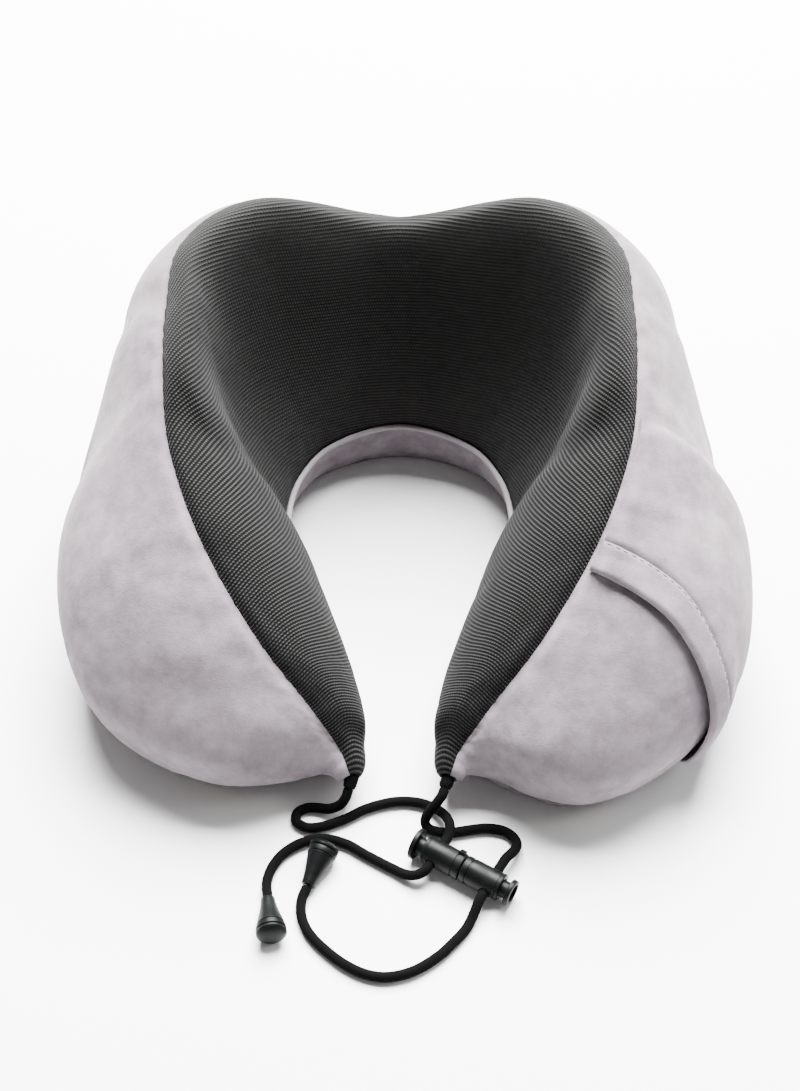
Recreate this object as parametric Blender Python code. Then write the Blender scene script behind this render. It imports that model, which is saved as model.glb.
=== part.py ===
"""U shaped neck pillow: a foam core, a sewn cover with a zip and a phone pocket, two cords,
a two-part cord lock and two bell cord ends. Metres and +Z up. The arm with the pocket is on the +X side
and the closed back is towards +Y. The origin is on the floor, under the middle."""
import math

import bmesh
import bpy
import numpy as np
from mathutils import Matrix, Vector

CM = 0.01
MM = 0.001
GAP = 0.3 * MM

# Cover: the control net of the outer surface, one half, in centimetres.
# Every rail runs from the middle of the back to the tip of an arm.
INNER_FOOT = [(0, 7.0, 0), (3.3, 6.0, 0), (4.9, 4.1, 0), (5.3, 1.95, 0), (5.15, -0.05, 0),
              (4.6, -2.1, 0), (3.6, -4.8, 0), (2.5, -7.6, 0), (1.95, -9.2, 0), (1.7, -9.8, 0.6)]
BAND_TOP = [(0, 6.6, 2.5), (2.9, 5.6, 2.4), (4.3, 3.8, 2.3), (4.8, 1.8, 2.1), (4.65, -0.1, 1.9),
            (4.1, -2.1, 1.8), (3.1, -4.6, 1.6), (2.1, -7.3, 1.4), (1.55, -9.05, 1.3), (1.4, -9.75, 1.3)]
MID_NECK = [(0, 7.5, 7.0), (3.9, 6.5, 7.5), (6.0, 4.7, 7.2), (6.6, 2.4, 7.0), (5.6, 0.1, 6.2),
            (3.9, -1.7, 4.2), (2.85, -4.4, 3.9), (1.85, -7.2, 3.4), (1.4, -8.95, 3.0), (1.4, -9.75, 2.2)]
CROWN = [(0, 8.8, 12.1), (5.0, 7.8, 14.15), (7.8, 5.8, 13.7), (8.2, 3.2, 12.9), (8.0, 0.5, 11.8),
         (6.6, -1.85, 9.8), (5.4, -4.7, 8.4), (3.9, -7.4, 6.4), (2.4, -9.15, 4.3), (1.85, -9.9, 2.8)]
RIDGE = [(0, 10.0, 11.6), (5.8, 8.65, 13.6), (8.75, 6.8, 13.1), (9.25, 3.9, 12.4), (9.2, 0.9, 11.6),
         (8.8, -1.85, 10.4), (7.5, -5.0, 8.8), (5.4, -7.9, 6.6), (3.3, -9.6, 4.2), (2.35, -10.3, 2.7)]
SHOULDER = [(0, 11.2, 9.2), (6.6, 10.0, 10.6), (10.1, 7.9, 10.6), (11.2, 4.6, 10.0), (11.6, 1.2, 8.9),
            (12.0, -2.1, 8.0), (10.9, -5.6, 7.6), (8.8, -8.5, 6.2), (5.3, -10.5, 4.2), (2.8, -10.55, 2.4)]
WAIST = [(0, 11.8, 5.5), (6.9, 10.6, 6.0), (10.3, 7.9, 6.2), (11.8, 4.2, 6.0), (12.9, 0.7, 5.4),
         (13.5, -2.8, 4.8), (12.9, -6.4, 4.4), (11.2, -9.1, 3.8), (7.2, -11.2, 3.0), (3.1, -10.85, 1.8)]
LOW_SEAM = [(0, 10.95, 1.6), (6.2, 9.9, 1.6), (9.6, 7.2, 1.4), (11.2, 3.8, 1.1), (12.2, 0.5, 1.0),
            (12.7, -2.9, 0.9), (12.2, -6.35, 0.9), (10.6, -9.0, 0.8), (6.8, -10.8, 0.7), (2.95, -10.6, 1.05)]
OUTER_FOOT = [(0, 10.0, 0), (5.6, 8.9, 0), (8.8, 6.5, 0), (10.3, 3.4, 0), (11.3, 0.3, 0),
              (11.8, -3.0, 0), (11.3, -6.1, 0), (9.8, -8.6, 0), (6.2, -10.2, 0), (2.6, -10.15, 0.6)]
RAILS = [INNER_FOOT, BAND_TOP, MID_NECK, CROWN, RIDGE, SHOULDER, WAIST, LOW_SEAM, OUTER_FOOT]
SOLE_SHARES = (0.24, 0.76)
# the lobe with the pocket is a little fuller than the other: (x, y, z) added at each station
LOBE_GROWTH = {6: (0.1, -0.3, 0), 7: (0.2, -0.65, 0), 8: (0.1, -0.9, 0)}
U_BAND, U_RIDGE, U_LOW, U_ROUND = 1.0, 4.0, 7.0, 11
TIP_CENTRE = (1.85, -10.9, 1.5)
TIP_AXIS = (-0.30, -0.93, -0.20)
STUB_AXIS_LEFT = (-0.30, -0.75, -0.60)
TIP_RADIUS = 0.6
ARM_END = 10.0
FOAM_END = 8.5
STEPS_PER_STATION = 2

PANEL_THICKNESS = 2.4 * MM
FOAM_DEPTH = PANEL_THICKNESS + 2.0 * MM
TIP_THINNING = 0.5
NECK_COLUMNS, SIDE_COLUMNS, BASE_COLUMNS = 8, 8, 9
PIPING_RADIUS = 1.0 * MM
PIPING_END = 8.0

# Phone pocket, on the +X lobe: it is sewn along the ridge, at its back edge and along the low seam.
POCKET_BACK = 4.6
POCKET_LIP = [(0.0, 6.3), (0.2, 6.4), (0.45, 6.62), (0.62, 6.98), (0.75, 7.08), (1.0, 7.0)]
POCKET_LIFT = 1.8 * MM
POCKET_EDGE_LIFT = 1.3 * MM
POCKET_THICKNESS = 1.8 * MM
HEM_WIDTH = 0.30

# Zip, on a circular arc about a vertical axis behind the neck space.
ZIP_CENTRE = (0.0, -7.8 * CM)
ZIP_LOW = (18.47 * CM, 0.95 * CM)
ZIP_HIGH = (18.79 * CM, 2.10 * CM)
ZIP_HALF_ANGLE = 22.0
ZIP_TAPE_THICKNESS = 0.6 * MM
ZIP_CHAIN_WIDTH = 4.4 * MM
ZIP_CHAIN_HEIGHT = 1.6 * MM
ZIP_SLIDER_ANGLE = 19.2
ZIP_SPAN = 8.2 * CM
ZIP_WINDOW = 0.16

# Cords and what is on them.
CORD_RADIUS = 1.95 * MM
CORD_POINT_SPACING = 5.5 * MM
LOCK_CENTRE = (2.40 * CM, -14.33 * CM, 0.62 * CM)
LOCK_ANGLE = math.radians(-30.9)
BARREL_RADIUS = 5.3 * MM
BARREL_BORE = 3.6 * MM
BARREL_END = 16.6 * MM
BARREL_WALL = 3.0 * MM
CORD_HOLE = 11.7 * MM
CORD_HOLE_RADIUS = CORD_RADIUS + GAP
PLUNGER_RADIUS = 3.3 * MM
PLUNGER_TRAVEL = 2.5 * MM
HEAD_START = 19.4 * MM
HEAD_END = 21.4 * MM
SPRING_START = BARREL_WALL + GAP
SPRING_END = 8.3 * MM
SPRING_WIRE = 0.35 * MM
SPRING_RADIUS = 2.5 * MM
SPRING_TURNS = 4
BELL_LENGTH = 15.5 * MM
BELL_RADIUS = 5.8 * MM
BELL_NECK_RADIUS = 2.7 * MM
STUB_IN = 1.5 * MM
STUB_OUT = 4.0 * MM
STUB_RADIUS = 2.7 * MM

# Routes of the cords, in centimetres, from the stub to the lock and from the lock to the bell.
CORD_LEFT_ROUTE = [(-1.985, -11.235, 1.230), (-2.10, -11.47, 0.98), (-2.34, -11.60, 0.66),
                   (-2.75, -11.57, 0.34), (-3.20, -11.45, 0.21), (-3.62, -11.45, 0.20),
                   (-3.99, -11.68, 0.20), (-3.99, -12.08, 0.20), (-3.55, -12.33, 0.20),
                   (-2.90, -12.25, 0.20), (-2.10, -11.93, 0.20), (-1.30, -11.48, 0.20),
                   (-0.30, -11.18, 0.20), (0.60, -11.18, 0.20), (1.28, -11.48, 0.30),
                   (1.72, -11.98, 0.56), (1.90, -12.45, 0.72), (1.90, -12.80, 0.66),
                   (1.807, -13.043, 0.62), (1.684, -13.249, 0.62), (1.396, -13.729, 0.62),
                   (1.108, -14.209, 0.62), (0.93, -14.42, 0.57), (0.62, -14.54, 0.45),
                   (0.24, -14.44, 0.30), (-0.20, -14.18, 0.21), (-0.75, -13.86, 0.20),
                   (-1.35, -13.50, 0.20), (-2.05, -13.06, 0.20), (-2.90, -12.82, 0.20),
                   (-3.72, -12.97, 0.20), (-4.42, -13.43, 0.20), (-4.86, -14.05, 0.20),
                   (-5.04, -14.75, 0.23), (-4.97, -15.42, 0.32)]
CORD_RIGHT_ROUTE = [(1.699, -11.366, 1.400), (1.60, -11.60, 1.33), (1.36, -11.84, 1.10),
                    (1.10, -12.00, 0.77), (0.97, -12.17, 0.44), (1.07, -12.36, 0.24),
                    (1.42, -12.50, 0.20), (1.92, -12.56, 0.20), (2.60, -12.45, 0.20),
                    (3.30, -12.36, 0.20), (3.95, -12.46, 0.20), (4.36, -12.78, 0.24),
                    (4.47, -13.22, 0.38), (4.31, -13.58, 0.54), (4.05, -13.88, 0.61),
                    (3.866, -14.159, 0.62), (3.692, -14.451, 0.62), (3.404, -14.931, 0.62),
                    (3.116, -15.411, 0.62), (2.98, -15.65, 0.59), (2.83, -15.97, 0.45),
                    (2.66, -16.32, 0.28), (2.42, -16.72, 0.20), (2.03, -17.18, 0.20),
                    (1.40, -17.80, 0.20), (0.50, -18.38, 0.20), (-0.45, -18.62, 0.20),
                    (-1.28, -18.50, 0.20), (-2.06, -18.10, 0.20), (-2.80, -17.50, 0.20),
                    (-3.38, -16.85, 0.20), (-3.68, -16.15, 0.20), (-3.70, -15.50, 0.23),
                    (-3.51, -14.98, 0.32)]
BELL_LEFT_END = (-4.97, -15.45, 0.33)
BELL_LEFT_TOWARDS = (-4.72, -17.24, 0.65)
BELL_RIGHT_END = (-3.50, -14.95, 0.33)
BELL_RIGHT_TOWARDS = (-2.79, -13.25, 0.65)

RING_ANGLES = (-60, -15, 30, 70, 105, 138, 170, 207, 252)
HALF_SEAM = 0.25 * MM
NORMAL_STEP = 0.12
SOCKET_DEPTH = 2.4 * MM
SOCKET_RADIUS = 2.6 * MM
SLIDER_HALF_ANGLE = 1.4
BRIDGE_RADIUS = 0.7 * MM
BRIDGE_REACH = 3.0 * MM
PULL_RING_WALL = 0.9 * MM
PULL_HALF_WIDTH = 1.9 * MM
PULL_LENGTH = 10.5 * MM
CENTRE_SEAM = 0.005


def material(name, colour, roughness, metallic=0.0):
    made = bpy.data.materials.new(name)
    made.use_nodes = True
    shader = made.node_tree.nodes["Principled BSDF"]
    shader.inputs["Base Color"].default_value = (*colour, 1.0)
    shader.inputs["Roughness"].default_value = roughness
    shader.inputs["Metallic"].default_value = metallic
    return made


def add_object(name, mesh, look, parent=None):
    thing = bpy.data.objects.new(name, mesh)
    bpy.context.scene.collection.objects.link(thing)
    mesh.materials.append(look)
    thing.parent = parent
    return thing


def mesh_from(name, points, faces, smooth=True):
    """A mesh of these points and faces, with its faces turned outwards."""
    mesh = bpy.data.meshes.new(name)
    shape = bmesh.new()
    corners = [shape.verts.new(point) for point in points]
    for face in faces:
        shape.faces.new([corners[index] for index in face])
    bmesh.ops.recalc_face_normals(shape, faces=shape.faces)
    shape.to_mesh(mesh)
    shape.free()
    if smooth:
        mesh.shade_smooth()
        mesh.set_sharp_from_angle(angle=math.radians(40))
    return mesh


def turned(name, profile, segments, look, parent=None):
    """A body of revolution about the local X axis. profile is a list of (x, radius). It is closed into a
    ring when it never reaches the axis, and otherwise starts and ends on the axis."""
    ring_shaped = profile[0][1] > 0
    points = []
    rows = []
    for x, radius in profile:
        if radius == 0:
            rows.append([len(points)] * segments)
            points.append((x, 0, 0))
            continue
        rows.append(list(range(len(points), len(points) + segments)))
        for step in range(segments):
            turn = 2 * math.pi * step / segments
            points.append((x, radius * math.cos(turn), radius * math.sin(turn)))
    faces = []
    pairs = list(zip(rows, rows[1:]))
    if ring_shaped:
        pairs.append((rows[-1], rows[0]))
    for first, second in pairs:
        for step in range(segments):
            after = (step + 1) % segments
            face = [first[step], first[after], second[after], second[step]]
            face = list(dict.fromkeys(face))
            faces.append(face)
    return add_object(name, mesh_from(name, points, faces), look, parent)


def box_mesh(name, low, high):
    corners = [(x, y, z) for x in (low[0], high[0]) for y in (low[1], high[1]) for z in (low[2], high[2])]
    faces = [(0, 1, 3, 2), (4, 5, 7, 6), (0, 1, 5, 4), (2, 3, 7, 6), (0, 2, 6, 4), (1, 3, 7, 5)]
    return mesh_from(name, corners, faces, smooth=False)


def boolean(target, tool, operation):
    """Cuts target by tool, or joins tool to it. The tool itself isn't part of the model."""
    change = target.modifiers.new(tool.name, "BOOLEAN")
    change.operation = operation
    change.object = tool
    tool.hide_render = True
    tool.display_type = "WIRE"


def tip_ring():
    """The last section of an arm: a small ring round the cord's stub, one point for each rail."""
    axis = Vector(TIP_AXIS).normalized()
    side = axis.cross(Vector((0, 0, 1))).normalized()
    up = side.cross(axis).normalized()
    ring = []
    for angle in RING_ANGLES:
        turn = math.radians(angle)
        offset = (side * math.cos(turn) + up * math.sin(turn)) * TIP_RADIUS
        ring.append(tuple(Vector(TIP_CENTRE) + offset))
    return np.array(ring)


def control_net():
    """All rails from the -X tip round the back to the +X tip: an array [station, rail, xyz] in metres."""
    half = np.array(RAILS, dtype=float).transpose(1, 0, 2)
    half = np.concatenate([half, tip_ring()[None]], axis=0)
    inner_foot, outer_foot = half[:, 0], half[:, -1]
    soles = [outer_foot + (inner_foot - outer_foot) * share for share in SOLE_SHARES]
    half = np.concatenate([half, np.stack(soles, axis=1)], axis=1)
    other = half[:0:-1] * np.array([-1.0, 1.0, 1.0])
    for station, growth in LOBE_GROWTH.items():
        outer_rails = half[station, RAILS.index(SHOULDER):RAILS.index(OUTER_FOOT) + 1]
        outer_rails += np.array(growth)
    net = np.concatenate([other, half], axis=0) * CM
    before = 2 * net[:1] - net[1:2]
    after = 2 * net[-1:] - net[-2:-1]
    return np.concatenate([before, net, after], axis=0)


NET = control_net()


def catmull_weights(f):
    """Catmull-Rom weights of the four control values round a fraction f."""
    f = f[..., None]
    return np.concatenate([
        -0.5 * f + f ** 2 - 0.5 * f ** 3,
        1 - 2.5 * f ** 2 + 1.5 * f ** 3,
        0.5 * f + 2 * f ** 2 - 1.5 * f ** 3,
        -0.5 * f ** 2 + 0.5 * f ** 3,
    ], axis=-1)


def surface(station, around):
    """Points of the cover's outer surface. station runs from -10 (-X tip) through 0 (middle of the back)
    to +10. around runs over the rails, from 0 at the inner foot, and wraps at 11. A section is a smooth
    curve whose tangents allow for the uneven spacing of its rails."""
    station, around = np.broadcast_arrays(np.asarray(station, float), np.asarray(around, float))
    spans = NET.shape[0] - 3
    place = np.clip(station + spans / 2, 0, spans - 1e-9)
    k = np.floor(place).astype(int)
    j = np.floor(around).astype(int)
    along = catmull_weights(place - k)
    near = []
    for b in range(4):
        rail = (j + b - 1) % U_ROUND
        near.append(sum(along[..., a, None] * NET[k + a, rail] for a in range(4)))
    before, first, second, after = near
    gaps = [np.sqrt(np.linalg.norm(end - start, axis=-1, keepdims=True)) + 1e-9
            for start, end in zip(near, near[1:])]
    out_of_first = (first - before) / gaps[0] - (second - before) / (gaps[0] + gaps[1])
    out_of_first = (out_of_first + (second - first) / gaps[1]) * gaps[1]
    into_second = (second - first) / gaps[1] - (after - first) / (gaps[1] + gaps[2])
    into_second = (into_second + (after - second) / gaps[2]) * gaps[1]
    f = (around - j)[..., None]
    total = (2 * f ** 3 - 3 * f ** 2 + 1) * first + (f ** 3 - 2 * f ** 2 + f) * out_of_first
    total = total + (3 * f ** 2 - 2 * f ** 3) * second + (f ** 3 - f ** 2) * into_second
    total[..., 2] = np.maximum(total[..., 2], 0.0)
    return total


def normals(station, around):
    """Outward unit normals of the cover's outer surface."""
    along = surface(station + NORMAL_STEP, around) - surface(station - NORMAL_STEP, around)
    across = surface(station, around + NORMAL_STEP) - surface(station, around - NORMAL_STEP)
    normal = np.cross(along, across)
    return normal / np.linalg.norm(normal, axis=-1, keepdims=True)


def seam_shift(station, around):
    """How far, in units of around, an edge stands back from a seam to leave half the seam's gap."""
    step = 0.02
    across = surface(station, around + step) - surface(station, around - step)
    return HALF_SEAM * 2 * step / np.linalg.norm(across, axis=-1)


def sheet(name, station, around, lift_out, lift_in, look):
    """A closed panel on the cover's surface. station and around are grids of the same shape; lift_out and
    lift_in are the heights of its two faces over the surface."""
    base = surface(station, around)
    normal = normals(station, around)
    outer = base + normal * np.broadcast_to(lift_out, station.shape)[..., None]
    inner = base + normal * np.broadcast_to(lift_in, station.shape)[..., None]
    outer[..., 2] = np.maximum(outer[..., 2], 0.0)
    inner[..., 2] = np.maximum(inner[..., 2], 0.0)
    rows, columns = station.shape
    points = list(map(tuple, np.concatenate([outer.reshape(-1, 3), inner.reshape(-1, 3)])))
    under = rows * columns

    def at(row, column):
        return row * columns + column

    faces = []
    for row in range(rows - 1):
        for column in range(columns - 1):
            face = [at(row, column), at(row + 1, column), at(row + 1, column + 1), at(row, column + 1)]
            faces.append(face)
            faces.append([index + under for index in reversed(face)])
    rim = [at(0, column) for column in range(columns)]
    rim += [at(row, columns - 1) for row in range(1, rows)]
    rim += [at(rows - 1, column) for column in range(columns - 2, -1, -1)]
    rim += [at(row, 0) for row in range(rows - 2, 0, -1)]
    for first, second in zip(rim, rim[1:] + rim[:1]):
        faces.append([first, second, second + under, first + under])
    return add_object(name, mesh_from(name, points, faces), look)


def stations_between(first, last):
    count = round((last - first) * STEPS_PER_STATION) + 1
    return np.linspace(first, last, count)


def zip_window(station):
    """1 over the zip, falling to 0 past its ends: it opens the seam between side and base panels."""
    distance = np.abs(surface(station, np.full(np.shape(station), U_LOW))[..., 0])
    return np.clip((ZIP_SPAN + 0.4 * CM - distance) / (0.4 * CM), 0.0, 1.0)


def panel(name, stations, low, high, columns, look, open_low=0.0, open_high=0.0):
    """A cover panel between the seams at around = low and high. open_low and open_high widen the gap there
    over the zip."""
    window = zip_window(stations)
    low_edge = low + seam_shift(stations, np.full_like(stations, low)) + open_low * window
    high_edge = high - seam_shift(stations, np.full_like(stations, high)) - open_high * window
    share = np.linspace(0, 1, columns)
    around = low_edge[:, None] + (high_edge - low_edge)[:, None] * share[None]
    station = np.repeat(stations[:, None], columns, axis=1)
    towards_tip = np.clip((np.abs(station) - 8.5) / 1.5, 0, 1)
    return sheet(name, station, around, 0.0, -PANEL_THICKNESS * (1 - TIP_THINNING * towards_tip), look)


def foam_core(look):
    """The foam: one closed tube inside the cover, with a flat end in each arm."""
    stations = stations_between(-FOAM_END, FOAM_END)
    seams = ((U_BAND, U_RIDGE, NECK_COLUMNS), (U_RIDGE, U_LOW, SIDE_COLUMNS),
             (U_LOW, U_BAND + U_ROUND, BASE_COLUMNS))
    arounds = np.concatenate([np.linspace(*seam)[:-1] for seam in seams])
    station, around = np.meshgrid(stations, arounds, indexing="ij")
    points = surface(station, around) - normals(station, around) * FOAM_DEPTH
    rows, columns = station.shape
    faces = []
    for row in range(rows - 1):
        for column in range(columns):
            after = (column + 1) % columns
            first = row * columns
            second = first + columns
            faces.append([first + column, second + column, second + after, first + after])
    corners = list(map(tuple, points.reshape(-1, 3)))
    for row in (0, rows - 1):
        middle = len(corners)
        corners.append(tuple(points[row].mean(axis=0)))
        for column in range(columns):
            faces.append([row * columns + column, row * columns + (column + 1) % columns, middle])
    return add_object("foam_core", mesh_from("foam_core", corners, faces), look)


def tube(name, route, radius, resolution, look):
    """A round tube along these points, with flat ends."""
    curve = bpy.data.curves.new(name, "CURVE")
    curve.dimensions = "3D"
    curve.bevel_depth = radius
    curve.bevel_resolution = resolution
    curve.use_fill_caps = True
    line = curve.splines.new("POLY")
    line.points.add(len(route) - 1)
    for point, place in zip(line.points, route):
        point.co = (*place, 1.0)
    thing = bpy.data.objects.new(name, curve)
    curve.materials.append(look)
    bpy.context.scene.collection.objects.link(thing)
    return thing


def smooth_route(points, spacing):
    """Evenly spaced points on a smooth curve through the route's own points."""
    points = np.array(points, dtype=float) * CM
    padded = np.concatenate([2 * points[:1] - points[1:2], points, 2 * points[-1:] - points[-2:-1]])
    fine = []
    steps = np.linspace(0, 1, 24, endpoint=False)
    for k in range(len(points) - 1):
        fine.append(catmull_weights(steps) @ padded[k:k + 4])
    fine = np.concatenate(fine + [points[-1:]])
    length = np.concatenate([[0], np.cumsum(np.linalg.norm(np.diff(fine, axis=0), axis=1))])
    count = round(length[-1] / spacing) + 1
    wanted = np.linspace(0, length[-1], count)
    return np.stack([np.interp(wanted, length, fine[:, axis]) for axis in range(3)], axis=1)


def rim_piping(look):
    """The rolled edge along the seam between neck panel and base panel, just proud of the surface."""
    stations = np.linspace(-PIPING_END, PIPING_END, 42)
    around = np.full_like(stations, U_BAND)
    lift = PIPING_RADIUS + 3 * GAP
    route = surface(stations, around) + normals(stations, around) * lift
    return tube("rim_piping", route, PIPING_RADIUS, 1, look)


def pocket_grid(first, last, rows, columns):
    """Grids over the pocket; first and last are shares of the way from its back edge to its lip."""
    share = np.linspace(0, 1, columns)
    lip = np.interp(share, [v for v, _ in POCKET_LIP], [s for _, s in POCKET_LIP])
    hem_start = lip - HEM_WIDTH
    ends = {"back": np.full_like(lip, POCKET_BACK), "hem": hem_start, "lip": lip}
    way = np.linspace(0, 1, rows)[:, None]
    station = ends[first][None] * (1 - way) + ends[last][None] * way
    around = np.broadcast_to(U_RIDGE + 0.08 + (U_LOW - U_RIDGE - 0.12) * share[None], station.shape)
    lift = pocket_lift(station, share[None])
    return station, around, lift


def pocket_lift(station, share):
    """Height of the pocket's inner face over the lobe: it bows out towards the open lip."""
    towards_lip = np.clip((station - POCKET_BACK) / (7.0 - POCKET_BACK), 0, 1)
    bow = towards_lip ** 1.5 * np.sin(math.pi * np.clip(share, 0, 1)) ** 0.7
    return POCKET_EDGE_LIFT + POCKET_LIFT * bow


def pocket_panel(look):
    station, around, lift = pocket_grid("back", "hem", 7, 10)
    station[-1] -= 0.014
    return sheet("pocket_panel", station, around, lift + POCKET_THICKNESS, lift, look)


def pocket_hem(look):
    station, around, lift = pocket_grid("hem", "lip", 3, 10)
    return sheet("pocket_hem", station, around, lift + POCKET_THICKNESS * 1.3, lift, look)


def zip_frame():
    """Middle of the zip and its two directions, in (radius, height)."""
    low = Vector(ZIP_LOW)
    high = Vector(ZIP_HIGH)
    up = (high - low).normalized()
    out = Vector((up.y, -up.x))
    return (low + high) / 2, up, out


def arc_strip(name, profile, first, last, steps, look, parent=None):
    """A closed profile, in (up, out) from the middle of the zip, swept round the zip's axis from one angle
    to the other, in degrees clockwise from +Y."""
    middle, up, out = zip_frame()
    places = [middle + up * a + out * b for a, b in profile]
    points = []
    for step in range(steps + 1):
        turn = math.radians(first + (last - first) * step / steps)
        for radius, height in places:
            points.append((radius * math.sin(turn), radius * math.cos(turn), height))
    count = len(profile)
    faces = [list(range(count)), list(range(steps * count, (steps + 1) * count))]
    for step in range(steps):
        for side in range(count):
            after = (side + 1) % count
            first_row = step * count
            second_row = first_row + count
            faces.append([first_row + side, first_row + after, second_row + after, second_row + side])
    return add_object(name, mesh_from(name, points, faces), look, parent)


def rectangle(low, high, inner, outer):
    return [(low, inner), (high, inner), (high, outer), (low, outer)]


def build_zip(tape_look, chain_look, metal_look):
    centre = bpy.data.objects.new("zip_axis", None)
    bpy.context.scene.collection.objects.link(centre)
    centre.location = (*ZIP_CENTRE, 0)
    tape_reach = (Vector(ZIP_HIGH) - Vector(ZIP_LOW)).length / 2
    half_tape = ZIP_TAPE_THICKNESS / 2
    for name, low, high in (("zip_tape_lower", -tape_reach, -GAP), ("zip_tape_upper", GAP, tape_reach)):
        arc_strip(name, rectangle(low, high, -half_tape, half_tape), -ZIP_HALF_ANGLE, ZIP_HALF_ANGLE, 22,
                  tape_look, centre)
    chain_inner = half_tape + GAP
    chain_outer = chain_inner + ZIP_CHAIN_HEIGHT
    half_chain = ZIP_CHAIN_WIDTH / 2
    chain_end = ZIP_HALF_ANGLE - 1.2
    arc_strip("zip_chain", rectangle(-half_chain, half_chain, chain_inner, chain_outer),
              -chain_end, chain_end, 22, chain_look, centre)
    half_stop = half_chain + 0.4 * MM
    stop = rectangle(-half_stop, half_stop, chain_inner, chain_outer + 0.5 * MM)
    for name, side in (("zip_stop_left", -1), ("zip_stop_right", 1)):
        arc_strip(name, stop, side * (chain_end + 0.12), side * (chain_end + 0.75), 1, metal_look, centre)
    slider_axis = bpy.data.objects.new("zip_slider_axis", None)
    bpy.context.scene.collection.objects.link(slider_axis)
    slider_axis.parent = centre
    slider_axis.rotation_euler = (0, 0, math.radians(ZIP_SLIDER_ANGLE))
    build_slider(chain_inner, chain_outer, half_chain, metal_look, slider_axis)


def build_slider(chain_inner, chain_outer, half_chain, look, parent):
    """The slider body with its bridge, and the pull that hangs from the bridge. All lie at angle 0 under
    their parent, which turns them to where the slider stands."""
    wall = half_chain + GAP
    edge = wall + 1.4 * MM
    roof = chain_outer + GAP
    top = roof + 1.0 * MM
    foot = chain_inner
    profile = [(-edge, foot), (-wall, foot), (-wall, roof), (wall, roof), (wall, foot), (edge, foot),
               (edge, top), (-edge, top)]
    slider = arc_strip("zip_slider", profile, -SLIDER_HALF_ANGLE, SLIDER_HALF_ANGLE, 4, look, parent)
    middle, up, out = zip_frame()
    bar = middle + out * (top + PULL_RING_WALL + 2 * GAP + BRIDGE_RADIUS)
    for sign in (-1, 1):
        post = turned(f"bridge_post_{sign}", [(-0.6 * MM, 0), (-0.6 * MM, 0.75 * MM), (2.9 * MM, 0.75 * MM),
                                              (2.9 * MM, 0)], 10, look, parent)
        foot_place = middle + out * top
        post.matrix_local = (Matrix.Translation((sign * BRIDGE_REACH, foot_place.x, foot_place.y))
                             @ Vector((0, out.x, out.y)).to_track_quat("X", "Z").to_matrix().to_4x4())
        boolean(slider, post, "UNION")
    bridge = turned("bridge_bar", [(-BRIDGE_REACH - 0.7 * MM, 0), (-BRIDGE_REACH - 0.7 * MM, BRIDGE_RADIUS),
                                   (BRIDGE_REACH + 0.7 * MM, BRIDGE_RADIUS), (BRIDGE_REACH + 0.7 * MM, 0)],
                    10, look, parent)
    bridge.location = (0, bar.x, bar.y)
    boolean(slider, bridge, "UNION")
    build_pull(bar, look, parent)


def build_pull(bar, look, parent):
    """A flat tab with a ring at its top; the ring turns on the bridge bar."""
    axis = bpy.data.objects.new("zip_pull_axis", None)
    bpy.context.scene.collection.objects.link(axis)
    axis.parent = parent
    axis.location = (0, bar.x, bar.y)
    inner = BRIDGE_RADIUS + GAP
    outer = inner + PULL_RING_WALL
    pull = turned("zip_pull", [(-PULL_HALF_WIDTH, inner), (PULL_HALF_WIDTH, inner), (PULL_HALF_WIDTH, outer),
                               (-PULL_HALF_WIDTH, outer)], 20, look, axis)
    tab = add_object("pull_tab", box_mesh("pull_tab", (-PULL_HALF_WIDTH, -0.5 * MM, -PULL_LENGTH),
                                          (PULL_HALF_WIDTH, 0.5 * MM, -inner - 0.35 * MM)), look, axis)
    boolean(pull, tab, "UNION")


def build_stubs(look):
    """The sewn stub at each tip that holds the end of a cord."""
    for name, side, towards in (("cord_stub_left", -1, STUB_AXIS_LEFT), ("cord_stub_right", 1, TIP_AXIS)):
        stub = turned(name, [(-STUB_IN, 0), (-STUB_IN, STUB_RADIUS), (STUB_OUT * 0.7, STUB_RADIUS),
                             (STUB_OUT, STUB_RADIUS * 0.85), (STUB_OUT, 0)], 14, look)
        stub.location = Vector((side * TIP_CENTRE[0], TIP_CENTRE[1], TIP_CENTRE[2])) * CM
        stub.rotation_euler = Vector(towards).to_track_quat("X", "Z").to_euler()


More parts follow.
